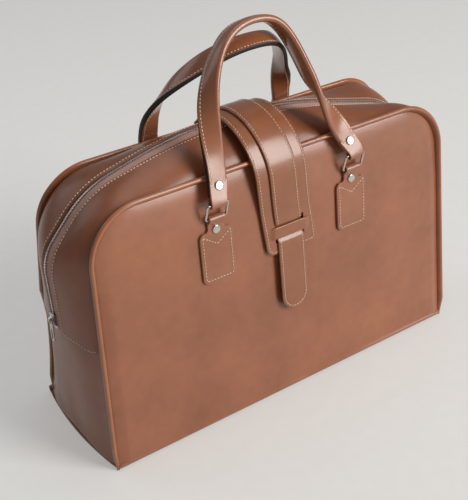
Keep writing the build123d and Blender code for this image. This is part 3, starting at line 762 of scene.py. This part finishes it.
gusset = {
    "thick": 2.2,
    "ply": 1.5,
    "bulge": 3.5,
    "set": 6.34,
    "gap": 0.3,
    "lift": 0.5,
    "roll": (12, 3.0),
    "fold": (2.2, 1.9),
    "hemDrop": 7.0,
    "hemSag": 3.0,
    "wave": 0.9,
    "waveSize": 58,
    "waveLevel": 0.45,
    "columns": 260,
    "rows": 40,
    "stitchIn": 3.0,
    "hemStitches": (0.09, 24),  # share of the span where they start, and the points of the line
    "flat": (64, 720),
    "cutShare": 0.86,
}
seamFlat = roundedPath(edgePoints(hemV, gusset["gap"]), [bag["corner"] + gusset["gap"]] * 2)


def zipUp(along):
    return Vector((0, -1, 0)).cross(along).normalized()


def gussetFrames(side):
    # for each column: seam point, way to the zip, way out, span
    seam = [onFace(side, u, v, -gusset["set"]) for u, v in evenly(seamFlat, gusset["columns"])]
    ridge = evenly(zipPath, gusset["columns"])
    frames = []
    for point, seamAlong, top, topAlong in zip(seam, tangents(seam), ridge, tangents(ridge)):
        up = zipUp(topAlong)
        end = top + Vector((0, side * zipRun["openings"][side], 0)) + up * gusset["lift"]
        chord = end - point
        out = (wayOut(side).cross(seamAlong) * -side).normalized() + up
        out = (out - chord * (out.dot(chord) / chord.length_squared)).normalized()
        frames.append((point, chord, out, chord.length))
    return frames


def gussetPoint(frames, at, s):
    # at counts columns and may be a fraction
    k = max(0, min(int(at), len(frames) - 2))
    part = at - k
    point, chord, out, span = (
        a.lerp(b, part) if isinstance(a, Vector) else a + (b - a) * part
        for a, b in zip(frames[k], frames[k + 1])
    )
    height = gusset["thick"] + gusset["bulge"] * 4 * s * (1 - s)
    height -= rollOff(s * span, *gusset["roll"])
    height -= rollOff(span - s * span, *gusset["fold"])
    place = point + chord * s + out * height
    soft = smoothStep(s * 5) * smoothStep((1 - s) * 6) * gusset["wave"]
    wave = ripple(place, gusset["waveSize"], 6.3) - gusset["waveLevel"]
    return place + out * (soft * wave), out


def hemStart(s):
    # the hem laps lower over the side panel towards the piping
    return -(gusset["hemDrop"] + gusset["hemSag"] * sin(pi * min(2 * s, 1))) * (1 - s * s)


def gussetRow(frames, s, step, inward=0.0):
    # one line along the gusset, from hem to hem
    last = len(frames) - 1
    start = (hemStart(s) + inward) / step
    return tuple(zip(*[gussetPoint(frames, at, s) for at in steps(start, last - start, last)]))


def makeGusset(side, end):
    frames = gussetFrames(side)
    last = len(frames) - 1
    step = pathLength(zipPath) / last
    shares = [0.5 - 0.5 * cos(angle) for angle in steps(0, pi, gusset["rows"])]
    obj = gridPiece(f"gusset{end}", [gussetRow(frames, s, step)[0] for s in shares])
    turnOutward(obj, Vector((0, 0, 1)))
    thicken(obj, gusset["ply"])
    # the upper gusset's leather is painted darker than the body's, as painted shade
    dress(obj, shadedGussetLeather, "bag", "gusset_leather", f"zip_gusset_{end.lower()}")
    inset = gusset["stitchIn"]
    nearZip = 1 - inset / (sum(span for *_, span in frames) / len(frames))
    runs = [gussetRow(frames, nearZip, step, inset)]
    low, count = gusset["hemStitches"]
    shares = steps(low, nearZip, count)
    columns = [(hemStart(s) + inset) / step for s in shares]
    for hem in (columns, [last - at for at in columns]):
        runs.append(tuple(zip(*[gussetPoint(frames, at, s) for at, s in zip(hem, shares)])))
    stitchPiece(f"gusset{end}Stitches", runs, "bag")


for side, end in ends:
    makeGusset(side, end)
print("upper gusset made")


# Zip: woven tapes and a row of interlocked teeth

zipper = {
    "tapeThick": 0.8,
    "split": 1.0,
    "tuckWidth": 5.0,
    "tuckDrop": 3.2,
    "bow": 1.1,
    "tapeRows": 300,
    "tapeSteps": 6,
    "leastWidth": 10.1,
    "tapeLength": 710,
    "cutShare": 0.97,
    "toothPitch": 1.5,
    "toothReach": 2.3,
    "toothThick": 1.15,
    "toothHeight": 2.3,
    "toothRise": 0.9,
    "toothBevel": 0.3,
    "toothMesh": 0.8,
    "startGap": 5.2,
}


def zipFrames(count):
    points = evenly(zipPath, count)
    return [(point, along, zipUp(along)) for point, along in zip(points, tangents(points))]


def makeTape(side, end):
    opening = zipRun["openings"][side]
    wide = opening + zipper["tuckWidth"]
    half, inner = zipper["tapeThick"] / 2, zipper["split"] / 2
    outer = [
        (inner + (opening - inner) * x, half + zipper["bow"] * (1 - x**2))
        for x in steps(0, 1, zipper["tapeSteps"])
    ]
    outer.append((wide, half - zipper["tuckDrop"]))
    section = outer + [(y, n - 2 * half) for y, n in reversed(outer)]
    rows = [
        [point + Vector((0, side * y, 0)) + up * n for y, n in section]
        for point, _, up in zipFrames(zipper["tapeRows"])
    ]
    obj = gridPiece(f"zipTape{end}", rows, tube=True)
    nodes = [f"zip_tape_{end.lower()}_{part}" for part in ("left", "crown", "right")]
    dress(obj, tapeCloth, "bag", "zip_tape", *nodes)


def makeTeeth():
    # one tooth is modelled once, then copied from side to side along the tape
    tooth = unitCube()
    size = (zipper["toothThick"], zipper["toothReach"], zipper["toothHeight"])
    bpy.ops.transform.resize(value=size)
    bpy.ops.object.transform_apply(location=False, rotation=False, scale=True)
    applyModifier(tooth, "BEVEL", width=zipper["toothBevel"], segments=1)
    shape = [v.co.copy() for v in tooth.data.vertices]
    shapeFaces = [tuple(f.vertices) for f in tooth.data.polygons]
    bpy.data.objects.remove(tooth)
    total = pathLength(zipPath)
    count = int(total / zipper["toothPitch"])
    aside = zipper["toothReach"] / 2 - zipper["toothMesh"]
    rise = zipper["toothRise"] + zipper["toothHeight"] / 2
    points = []
    faces = []
    for k, (place, along, up) in enumerate(zipFrames(count)):
        distance = k * total / count
        if min(distance, total - distance) < zipper["startGap"]:
            continue
        centre = place + up * rise
        over = along.cross(up)
        shift = aside if k % 2 else -aside
        first = len(points)
        points += [centre + along * v.x + over * (v.y + shift) + up * v.z for v in shape]
        faces += [tuple(first + i for i in face) for face in shapeFaces]
    obj = meshPiece("zipTeeth", points, faces)
    recalculate(obj)
    dress(obj, brightTeeth, "bag", "zip_teeth", "zip_chain")


for side, end in ends:
    makeTape(side, end)
makeTeeth()
print("zip made")


# Chapes: a stitched patch with stepped shoulders and a neck looped round the ring

chape = {
    "x": 88,
    "half": 20,
    "height": 56,
    "thick": 2.4,
    "gap": 0.3,
    "sink": 0.5,
    "edge": 0.8,
    "corner": 6,
    "shoulderRound": 4,
    "neckHalf": 9.5,
    "neckLength": 15,
    "neckFoot": 7.9,
    "neckTurn": ((0.15, 0, 2.7), (0.9, 2.2, 2.2)),  # outward, up and thickness above the patch
    "footDrop": 38,
    "footOffset": 4.6,
    "loopRadius": 2.7,
    "loopThick": 2.0,
    "loopArc": (-20, 200, 12),  # start and end in degrees, steps
    "tail": ((1.2, 4.6), (1.0, 7)),  # outward and down from the ring's bar
    "rowStep": 3.2,
    "cornerSteps": 8,
    "shoulderSteps": 7,
    "neckSteps": 6,
    "stitchIn": 3.4,
    "stitchTurns": (3.0, 3.0, 0.4, 0.6),
    "notch": 11,
}
ringFootZ = bag["height"] - chape["footDrop"]
chapeShoulder = (ringFootZ - chape["neckLength"]) / cos(lean)
chapeBottom = chapeShoulder - chape["height"] / cos(lean)
barV = ringFootZ / cos(lean) - chape["footOffset"] * tan(lean)


def chapeHalf(v):
    corner, fillet = chape["corner"], chape["shoulderRound"]
    if v < chapeShoulder:
        rise = max(0, chapeBottom + corner - v, v - chapeShoulder + corner)
        return roundedHalf(chape["half"], corner, rise)
    rise = max(0, chapeShoulder + fillet - v)
    return chape["neckHalf"] + fillet - sqrt(max(0, fillet**2 - rise**2))


def chapeStops():
    corner, rowStep = chape["corner"], chape["rowStep"]
    low, high = chapeBottom + corner, chapeShoulder - corner
    start = chapeShoulder + 0.05  # just past the step, so that the shoulder stays sharp
    count = int((high - low) / rowStep)
    stops = [low - corner * cos(angle) for angle in steps(0, pi / 2, chape["cornerSteps"])]
    stops += steps(low, low + rowStep * count, count)[1:]
    stops += [high + corner * sin(angle) for angle in steps(0, pi / 2, chape["shoulderSteps"])]
    return stops + steps(start, start + chape["shoulderRound"], chape["neckSteps"])


def makeChape(side, hand, end, flank):
    face = (chape["thick"] - chape["sink"]) / 2 + chape["gap"]
    neck, loop, loopThick = chape["neckHalf"], chape["loopRadius"], chape["loopThick"]
    line = [(face, v, chapeHalf(v), chape["thick"] + chape["sink"]) for v in chapeStops()]
    for out, up, thick in chape["neckTurn"]:
        line.append((face + out, barV - chape["neckFoot"] + up, neck, thick))
    for angle in steps(*chape["loopArc"]):
        out = chape["footOffset"] + loop * cos(radians(angle))
        line.append((out, barV + loop * sin(radians(angle)), neck, loopThick))
    for out, drop in chape["tail"]:
        line.append((out, barV - drop, neck, loopThick))
    centres = [onFace(side, hand * chape["x"], v, d) for d, v, _, _ in line]
    across = Vector((1, 0, 0))
    stations = []
    for centre, along, (_, _, half, thick) in zip(centres, tangents(centres), line):
        outward = (across.cross(along) * -side).normalized()
        stations.append((centre, across, outward, strapSection(half, thick, 0, chape["edge"])))
    obj = ribbon(f"chape{end}{flank}", stations)
    dress(obj, tabLeather, "bag", "tab_leather", f"tab_{end.lower()}_{flank.lower()}")
    inset = chape["stitchIn"]
    low, high, wide = chapeBottom + inset, chapeShoulder - inset, chape["half"] - inset
    corners = [(-wide, high), (-wide, low), (wide, low), (wide, high)]
    corners += [(0, high - chape["notch"]), (-wide, high)]
    top = chape["gap"] + chape["thick"]
    flat = roundedPath(corners, chape["stitchTurns"], step=0.8)
    path = [onFace(side, hand * chape["x"] + u, v, top) for u, v in flat]
    return path, [wayOut(side)] * 2


for side, end in ends:
    runs = [makeChape(side, hand, end, flank) for hand, flank in hands]
    stitchPiece(f"chapeStitches{end}", runs, "bag")
print("chapes made")


# Handles: straps that twist from flat ends to an upright arch, one edge rolled, one cut

handle = {
    "lean": 18,
    "rise": {-1: 161, 1: 148},
    "sag": {-1: 5, 1: 33},
    "pinch": {-1: 14.5, 1: 0},
    "skew": 14,
    "arch": (  # one leg: share of the half width, share of the rise
        (1, 0), (1, 0.09), (0.985, 0.18), (0.95, 0.37), (0.86, 0.57), (0.62, 0.81), (0.3, 0.965),
    ),
    "width": 22,
    "endWidth": 18.5,
    "endHalf": 2.9,
    "flatEnd": 28,
    "twistEnds": (0.40, 0.27),  # share of the length where the left and right legs stand upright
    "ringTilt": 14,
    "ringHeight": 18.4,
    "roll": 3.5,
    "groove": 2.0,
    "rim": 2.25,
    "swell": 0.7,
    "stitchIn": 3.2,
    "bareEnds": (4.5, 9),  # from each end to the strap and to its first stitch
    "loopRadius": 2.95,
    "loopThick": 2.5,
    "loopSteps": 12,
    "plyIn": 0.1,
    "plyEdge": 0.8,
    "plyLeg": ((26, 1.2), (22, 1.5), (18, 1.75), (14, 1.95), (10, 2.2), (6, 2.6)),  # up, out
    "count": 190,
}
ringTilt = radians(handle["ringTilt"])
ringTop = onFace(-1, 0, barV, chape["footOffset"])
ringTop += Vector((0, -sin(ringTilt), cos(ringTilt))) * handle["ringHeight"]


def handleAxes(side):
    # up the handle's plane, and out of it
    tilt = radians(handle["lean"])
    up = Vector((0, -side * sin(tilt), cos(tilt)))
    return up, Vector((0, side * cos(tilt), sin(tilt)))


def smoothThrough(points, startWay, endWay, count):
    # one smooth curve through the points with given ways at its ends
    data = np.array([tuple(p) for p in points])
    chords = np.linalg.norm(np.diff(data, axis=0), axis=1)
    knots = np.concatenate([[0], np.cumsum(chords)])
    n = len(points)
    matrix = np.zeros((n, n))
    right = np.zeros((n, 3))
    matrix[0, 0] = matrix[-1, -1] = 1
    right[0] = startWay
    right[-1] = endWay
    for i in range(1, n - 1):
        a, b = chords[i - 1], chords[i]
        matrix[i, i - 1 : i + 2] = (b, 2 * (a + b), a)
        right[i] = 3 * (b * (data[i] - data[i - 1]) / a + a * (data[i + 1] - data[i]) / b)
    ways = np.linalg.solve(matrix, right)
    at = np.array(steps(0, knots[-1], count * 4))
    i = np.minimum(np.searchsorted(knots, at, side="right") - 1, n - 2)
    h = chords[i, None]
    x = (at - knots[i])[:, None] / h
    path = (2 * x**3 - 3 * x**2 + 1) * data[i] + (x**3 - 2 * x**2 + x) * h * ways[i]
    path += (3 * x**2 - 2 * x**3) * data[i + 1] + (x**3 - x**2) * h * ways[i + 1]
    return evenly([Vector(p) for p in path], count)


def handleArch(side):
    pivot = Vector((0, -side * ringTop.y, ringTop.z))
    up, outward = handleAxes(side)
    pinch, rise, sag = (handle[key][side] for key in ("pinch", "rise", "sag"))
    left = [(-chape["x"] * a + pinch * sin(pi * h), h) for a, h in handle["arch"]]
    right = [(-a, h) for a, h in reversed(left)]
    points = []
    for a, h in left + [(0, 1)] + right:
        skew = handle["skew"] * max(0, sin(0.8 * pi * h)) ** 1.5
        points.append(pivot + Vector((a - skew, 0, 0)) + up * (rise * h) - outward * (sag * h * h))
    return smoothThrough(points, up, -up, handle["count"])


def handleDepth(key, turned):
    # half the thickness: the same all over at the flat ends, its own value once turned
    return handle["endHalf"] + (handle[key] - handle["endHalf"]) * turned


def handleSection(width, turned):
    # (across, through) points: a thin cut edge at -across, swelling to a rolled edge at +across
    half = width / 2
    rim, groove, roll = (handleDepth(key, turned) for key in ("rim", "groove", "roll"))
    seat = -half + handle["stitchIn"]
    top = half - roll
    upper = [(-half, rim * 0.7), (-half + 0.45, rim), (-half + 1.5, rim + 0.05), (seat, groove)]
    for x in steps(0, 1, 10)[1:]:
        deep = groove + (roll - groove) * sin(pi / 2 * x) ** 0.8
        deep += handle["swell"] * turned * sin(pi * x)
        upper.append((seat + (top - seat) * x, deep))
    upper += arcPoints(top, 0, roll, 1, 0, 7)[1:-1]
    return upper + [(half, 0)] + [(a, -n) for a, n in reversed(upper)]


def handleStations(side):
    # each station: point, along, across, through, width, how far turned, distance from the end
    path = handleArch(side)
    total = pathLength(path)
    flatEnd, endWidth = handle["flatEnd"], handle["endWidth"]
    _, outward = handleAxes(side)
    found = []
    for k, (point, along) in enumerate(zip(path, tangents(path))):
        fromEnd = min(k, len(path) - 1 - k) / (len(path) - 1) * total
        inPlane = (along.cross(outward) * side).normalized()
        faceOut = (inPlane.cross(along) * side).normalized()
        upright = handle["twistEnds"][0 if 2 * k < len(path) else 1] * total
        turned = smoothStep((fromEnd - flatEnd) / (upright - flatEnd))
        angle = pi / 2 * (1 - turned)
        across = faceOut * cos(angle) - inPlane * sin(angle)
        through = along.cross(across).normalized()
        width = endWidth + (handle["width"] - endWidth) * min(fromEnd / flatEnd, 1)
        found.append((point, along, across, through, width, turned, fromEnd))
    return found


def makeHandle(side, end):
    name, body = f"handle{end}", f"{end.lower()}_handle"
    stations = handleStations(side)
    strapStart, stitchStart = handle["bareEnds"]
    rows = [
        [point + across * a + through * n for a, n in handleSection(width, turned)]
        for point, _, across, through, width, turned, fromEnd in stations
        if fromEnd > strapStart
    ]
    obj = gridPiece(name, rows, tube=True)
    dress(obj, handleLeather, body, "handle_leather", f"handle_{end.lower()}")
    obj.data.materials.append(cutEdge)
    columns = len(rows[0])
    dark = {0, columns - 1, columns - 2}
    for i, face in enumerate(obj.data.polygons):
        if i < columns * (len(rows) - 1) and i % columns in dark:
            face.material_index = 1
    runs = []
    for sign in (-1, 1):
        path = []
        outward = []
        for point, _, across, through, width, turned, fromEnd in stations:
            if fromEnd > stitchStart:
                line = point - across * (width / 2 - handle["stitchIn"])
                path.append(line + through * (sign * handleDepth("groove", turned)))
                outward.append(through * sign)
        runs.append((path, outward))
    stitchPiece(name + "Stitches", runs, body)
    makeHandleEnd(f"{name}End1", stations, 1, body)
    makeHandleEnd(f"{name}End2", stations[::-1], -1, body)


def makeHandleEnd(name, stations, way, body):
    # the outer ply, folded round the ring's bar and laid up both faces
    pivot, along, across, through = stations[0][:4]

    def legPoint(rise, off, sign):
        near = min(stations, key=lambda s: abs(s[6] - rise))
        half = near[4] / 2 - handle["plyIn"]
        return (near[0] + near[3] * (sign * off), near[2], near[3] * sign, half)

    line = [legPoint(rise, off, 1) for rise, off in handle["plyLeg"]]
    for angle in steps(0, pi, handle["loopSteps"]):
        outward = through * cos(angle) - along * (way * sin(angle))
        place = pivot + outward * handle["loopRadius"]
        line.append((place, across, outward, handle["endWidth"] / 2))
    line += [legPoint(rise, off, -1) for rise, off in reversed(handle["plyLeg"])]
    thick, edge = handle["loopThick"], handle["plyEdge"]
    ply = [(*place, strapSection(half, thick, 0, edge)) for *place, half in line]
    dress(ribbon(name, ply), handleLeather, body, "handle_leather")


for side, end in ends:
    makeHandle(side, end)
print("handles made")


# Closing strap: a wide strap with a slotted band and a narrow strap threaded through it

strap = {
    "x": 4.5,
    "drop": 105,
    "slant": 6.9,
    "edge": 0.9,
    "corner": 8,
    "wide": {"half": 32, "thick": 2.6, "crown": 0.25, "rows": 110, "endRows": 10, "thread": 0.05},
    "narrow": {"half": 17, "thick": 2.4, "crown": 0.35, "rows": 190, "endRows": 14, "thread": 0.1},
    "standOff": 1.2,
    "gap": 0.3,
    "rootIn": 9.5,
    "rootRise": 10.6,
    "peakY": -3,
    "peakRise": 22,
    "crestRadius": 55,
    "shoulderOut": 7.6,
    "shoulderRise": 6.5,
    "shoulderRadius": 52,
    "layDrop": 56,
    "layRadius": 170,
    "bandRise": 18,
    "bandHeight": 13,
    "bandWall": 2.6,
    "bandSide": 4,
    "bandFoot": 3,
    "bandSteps": 48,
    "bandSlack": 1.8,
    "bandEdge": 0.7,
    "bandCrown": 0.15,
    "slit": 5.5,
    "slitCut": (2, 14),  # middle and length of the cut through the strap, outward
    "dipRadius": 3,
    "dipIn": 0.6,
    "tongueDrop": 70,
    "tongueShift": -2,
    "tipHalf": 0.6,
    "stitchIn": 2.9,
    "stitchStart": 2,
    "hiddenShare": 0.55,
}
widePly, narrowPly = strap["wide"], strap["narrow"]
strapEnd = bag["height"] - strap["drop"]
strapTop = max(point.z for point in zipPath) + strap["peakRise"]
tipHeight = strapEnd - strap["tongueDrop"]
narrowOff = strap["standOff"] + widePly["thick"] + strap["gap"]
bandFloor = strap["standOff"] + narrowPly["thick"] + strap["gap"]
bandLow = strapEnd + strap["bandRise"]
bandHigh = bandLow + strap["bandHeight"]
bandMiddle = (bandLow + bandHigh) / 2
tunnelHalf = narrowPly["half"] + strap["bandSlack"]


def strapAxis(z):
    return strap["x"] - (z - strapEnd) * tan(radians(strap["slant"]))


bandX = strapAxis(bandMiddle)
tipX = strap["x"] + strap["tongueShift"]


def frontAt(height, off):
    point = onFace(-1, 0, height / cos(lean), off)
    return Vector((point.y, point.z))


def shifted(points, amount):
    points = [Vector(p) for p in points]
    runs = [(b - a).normalized() for a, b in zip(points, points[1:])]
    sides = [Vector((run.y, -run.x)) for run in runs]
    sides = [sides[0]] + sides + [sides[-1]]
    moved = []
    for point, before, after in zip(points, sides, sides[1:]):
        corner = (before + after).normalized()
        moved.append(point + corner * (amount / corner.dot(after)))
    return moved


strapRun = [
    (bag["topDepth"] / 2 - strap["rootIn"], bag["height"] + strap["rootRise"]),
    (strap["peakY"], strapTop),
    frontAt(bag["height"] + strap["shoulderRise"], strap["shoulderOut"]),
    frontAt(bag["height"] - strap["layDrop"], strap["standOff"]),
]
strapRadii = [strap["crestRadius"], strap["shoulderRadius"], strap["layRadius"]]


def strapStations(path, centreAt, halfAt, ply):
    # the path is the strap's inner face in side view
    thick = ply["thick"]
    stations = []
    for (y, z), way in zip(path, tangents(path)):
        outward = Vector((0, way.y, -way.x))
        centre = Vector((centreAt(z), y, z)) + outward * (thick / 2)
        section = strapSection(halfAt(z), thick, ply["crown"], strap["edge"])
        stations.append((centre, Vector((1, 0, 0)), outward, section))
    return stations


def roundEnd(foot, radius, off, ply):
    # stations closer together round the strap's end
    turns = steps(0, pi / 2, ply["endRows"])[1:]
    return [frontAt(foot + radius * (1 - sin(angle)), off) for angle in turns]


def edgeLines(stations, ply):
    # stitch lines down both sides, as far as the strap has its full width
    reach = ply["half"] - strap["stitchIn"]
    rise = ply["thick"] / 2 + ply["thread"]
    full = [s for s in stations if max(a for a, _ in s[3]) > ply["half"] - 0.01]
    left = [centre - across * reach + out * rise for centre, across, out, _ in full]
    right = [centre + across * reach + out * rise for centre, across, out, _ in full]
    return left, right, [out for _, _, out, _ in full]


def wideHalf(z):
    return roundedHalf(widePly["half"], strap["corner"], max(0, strapEnd + strap["corner"] - z))


def makeWideStrap():
    corner, off = strap["corner"], strap["standOff"]
    path = roundedPath(strapRun + [frontAt(strapEnd + corner, off)], strapRadii, step=2.5)
    path = evenly(path, widePly["rows"]) + roundEnd(strapEnd, corner, off, widePly)
    stations = strapStations(path, strapAxis, wideHalf, widePly)
    obj = ribbon("strapWide", stations)
    # the slot that the narrow strap goes through
    cutter = unitCube()
    cutOut, cutLength = strap["slitCut"]
    tall = (strap["bandHeight"] + 2 * strap["slit"]) / cos(lean)
    middle = onFace(-1, bandX, bandMiddle / cos(lean), cutOut)
    turn = Matrix.Rotation(-lean, 4, "X")
    size = Matrix.Diagonal((2 * tunnelHalf * mm, cutLength * mm, tall * mm, 1))
    cutter.data.transform(Matrix.Translation(middle * mm) @ turn @ size)
    applyModifier(obj, "BOOLEAN", operation="DIFFERENCE", solver="EXACT", object=cutter)
    bpy.data.objects.remove(cutter)
    smoothFaces(obj)
    selectOnly(obj)
    bpy.ops.object.shade_smooth_by_angle(angle=radians(50))
    dress(obj, strapLeather, "strap", "strap_leather", "strap_wide")
    left, right, outs = edgeLines(stations[strap["stitchStart"] :], widePly)
    inner = corner - strap["stitchIn"]
    turns = steps(0, pi / 2, 8)[1:]
    for angle in turns:
        z = strapEnd + corner - inner * sin(angle)
        reach = widePly["half"] - corner + inner * cos(angle)
        y, high = frontAt(z, off + widePly["thick"] + widePly["thread"])
        left.append(Vector((strapAxis(z) - reach, y, high)))
        right.append(Vector((strapAxis(z) + reach, y, high)))
    outs += [outs[-1]] * len(turns)
    stitchPiece("strapWideStitches", [(left + right[::-1], outs + outs[::-1])], "strap")


def makeBand():
    # the strap's own leather between the slits, raised over the narrow strap
    wall, rampLength = strap["bandWall"], strap["bandSide"] + strap["bandFoot"]
    low = strap["standOff"] + widePly["thick"] / 2 + 0.1
    high = bandFloor + wall / 2
    reach = tunnelHalf + wall / 2 + rampLength
    points = []
    for x in steps(-reach, reach, strap["bandSteps"]):
        d = low + (high - low) * smoothStep((reach - 1 - abs(x)) / rampLength)
        points.append(Vector((x, d)))
    up = (onFace(-1, 0, 1, 0) - onFace(-1, 0, 0, 0)).normalized()
    half = strap["bandHeight"] / 2 / cos(lean)
    section = strapSection(half, wall * 0.9, strap["bandCrown"], strap["bandEdge"])
    stations = []
    for (x, d), way in zip(points, tangents(points)):
        normal = (wayOut(-1) * way.x - Vector((1, 0, 0)) * way.y).normalized()
        place = onFace(-1, bandX + x, bandMiddle / cos(lean), d)
        stations.append((place, up, normal, section))
    dress(ribbon("strapBand", stations), strapLeather, "strap", "strap_leather")


def narrowCentre(z):
    if z < bandLow:
        foot = tipHeight + narrowPly["half"]
        return tipX + (bandX - tipX) * max((z - foot) / (bandLow - foot), 0)
    high = strapTop + 2 * (narrowOff - strap["standOff"])
    return bandX + (strapAxis(strapTop) - bandX) * (z - bandLow) / (high - bandLow)


def narrowHalf(z):
    half = narrowPly["half"]
    return max(strap["tipHalf"], roundedHalf(half, half, max(0, tipHeight + half - z)))


def makeNarrowStrap():
    half, off, step = narrowPly["half"], strap["standOff"], strap["dipIn"]
    rise = narrowOff - off
    dipRun = [
        frontAt(bag["height"] - strap["layDrop"], narrowOff),
        frontAt(bandHigh + strap["slit"] - step, narrowOff),
        frontAt(bandHigh + step, off),
        frontAt(bandLow - step, off),
        frontAt(bandLow - strap["slit"] + step, narrowOff),
        frontAt(tipHeight + half, narrowOff),
    ]
    crest, shoulder, lay = strapRadii
    radii = [crest + rise, shoulder + rise, lay - rise] + [strap["dipRadius"]] * 4
    path = roundedPath(shifted(strapRun, rise)[:3] + dipRun, radii, step=1.0)
    path = evenly(path, narrowPly["rows"]) + roundEnd(tipHeight, half, narrowOff, narrowPly)
    stations = strapStations(path, narrowCentre, narrowHalf, narrowPly)
    obj = ribbon("strapNarrow", stations)
    dress(obj, strapLeather, "strap", "strap_leather", "strap_narrow")
    # no stitches where the strap dives under the band
    hidden = strap["slit"] * strap["hiddenShare"]
    stations = stations[strap["stitchStart"] :]
    left, right, outs = edgeLines([s for s in stations if s[0].z > bandHigh + hidden], narrowPly)
    runs = [(left, outs), (right, outs)]
    left, right, outs = edgeLines([s for s in stations if s[0].z < bandLow - hidden], narrowPly)
    reach = half - strap["stitchIn"]
    tip = []
    for angle in steps(0, pi, 24)[1:-1]:
        z = tipHeight + half - reach * sin(angle)
        y, high = frontAt(z, narrowOff + narrowPly["thick"] + narrowPly["thread"])
        tip.append(Vector((tipX - reach * cos(angle), y, high)))
    runs.append((left + tip + right[::-1], outs + [outs[-1]] * len(tip) + outs[::-1]))
    stitchPiece("strapNarrowStitches", runs, "strap")


makeWideStrap()
makeBand()
makeNarrowStrap()
print("closing strap made")


# The hardware keeps its solids and takes a plated finish

plated = [
    "ring_front_left", "ring_front_right", "ring_back_left", "ring_back_right",
    "handle_rivets_front", "handle_rivets_back", "tab_rivets_front", "tab_rivets_back",
    "zip_slider", "zip_pull", "snap_stud", "snap_socket",
]
finishes = dict.fromkeys(plated, nickel)
finishes.update(zip_stops=brightTeeth, base_board=boardFinish)
for name, finish in finishes.items():
    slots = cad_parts[name].data.materials
    slots.clear()
    slots.append(finish)
print("hardware finished")


# Floor, lights and camera

studio = {
    "floor": (0.62, 0.612, 0.59),
    "floorDark": 0.95,
    "floorGlow": 0.46,
    "floorSize": 40,
    "floorDrop": 0.0002,
    "world": (0.97, 0.97, 1.0),
    "worldStrength": 0.22,
    "backdrop": (0.42, 0.415, 0.4),
    "lampAim": (0, 0, 0.15),
    "lamps": (  # name, place, width, height, watts, colour
        ("windowLamp", (1.9, -3.1, 1.8), 1.8, 3.0, 142, (1.0, 0.985, 0.96)),
        ("topLamp", (0.2, 0.2, 1.9), 1.2, 1.2, 5, (0.92, 0.95, 1.0)),
        ("backLamp", (-0.9, 1.3, 1.2), 1.0, 1.0, 2.5, (0.95, 0.97, 1.0)),
    ),
}


def makeFloor():
    bpy.ops.object.select_all(action="DESELECT")
    place = (0, 0, -studio["floorDrop"])
    bpy.ops.mesh.primitive_plane_add(size=studio["floorSize"], location=place)
    floor = bpy.context.object
    floor.name = "studioFloor"
    bpy.ops.object.transform_apply(location=True, rotation=False, scale=False)
    material, tree, sockets = newMaterial("floorPaper", Roughness=0.9)
    mottle = pattern(tree, "ShaderNodeTexNoise", "Fac", Scale=60.0, Detail=6.0)
    pale = studio["floor"]
    dark = [c * studio["floorDark"] for c in pale]
    paper = twoTone(tree, mottle, sockets["Base Color"], dark, pale)
    # the floor shows pale to the eye and in the metal
    sight = tree.nodes.new("ShaderNodeLightPath").outputs
    first = addMath(tree, "MAXIMUM", sight["Is Camera Ray"], sight["Is Glossy Ray"])
    glow = addMath(tree, "MULTIPLY", first, studio["floorGlow"])
    tree.links.new(paper, sockets["Emission Color"])
    tree.links.new(glow, sockets["Emission Strength"])
    floor.data.materials.append(material)


def makeWorld():
    world = bpy.data.worlds.new("softWorld")
    world.use_nodes = True
    tree = world.node_tree
    soft = tree.nodes["Background"]
    setInputs(soft, {"Color": (*studio["world"], 1), "Strength": studio["worldStrength"]})
    plain = addNode(tree, "ShaderNodeBackground", Color=(*studio["backdrop"], 1))
    sight = tree.nodes.new("ShaderNodeLightPath")
    pick = tree.nodes.new("ShaderNodeMixShader")
    sources = (sight.outputs["Is Camera Ray"], soft.outputs[0], plain.outputs[0])
    for socket, source in zip(pick.inputs, sources):
        tree.links.new(source, socket)
    tree.links.new(pick.outputs[0], tree.nodes["World Output"].inputs["Surface"])
    bpy.context.scene.world = world


def makeLamps():
    for name, place, width, height, power, color in studio["lamps"]:
        bpy.ops.object.select_all(action="DESELECT")
        bpy.ops.object.light_add(type="AREA", location=place)
        lamp = bpy.context.object
        lamp.name = name
        lamp.data.shape = "RECTANGLE"
        lamp.data.size = width
        lamp.data.size_y = height
        lamp.data.energy = power
        lamp.data.color = color
        way = Vector(studio["lampAim"]) - Vector(place)
        lamp.rotation_euler = way.to_track_quat("-Z", "Y").to_euler()


view = {
    "azimuth": -34.72,
    "elevation": 31.97,
    "roll": -1.33,
    "distance": 1113.3,
    "target": (-24.69, 0, 150.92),
    "focal": 1008.05,
    "imageHeight": 500,
    "sensor": 36,
    "clip": (0.05, 40),
}


def makeCamera():
    turn, rise, roll = (radians(view[key]) for key in ("azimuth", "elevation", "roll"))
    pose = Matrix.Rotation(turn, 4, "Z") @ Matrix.Rotation(pi / 2 - rise, 4, "X")
    pose = pose @ Matrix.Rotation(roll, 4, "Z")
    back = pose.col[2].xyz
    pose.translation = (Vector(view["target"]) + back * view["distance"]) * mm
    data = bpy.data.cameras.new("photoCamera")
    camera = bpy.data.objects.new("photoCamera", data)
    bpy.context.scene.collection.objects.link(camera)
    camera.matrix_world = pose
    data.sensor_width = view["sensor"]
    data.lens = view["focal"] / view["imageHeight"] * view["sensor"]
    data.clip_start, data.clip_end = view["clip"]
    bpy.context.scene.camera = camera


makeFloor()
makeWorld()
makeLamps()
makeCamera()
bpy.context.scene.view_settings.view_transform = "Standard"
print("stage and camera set")
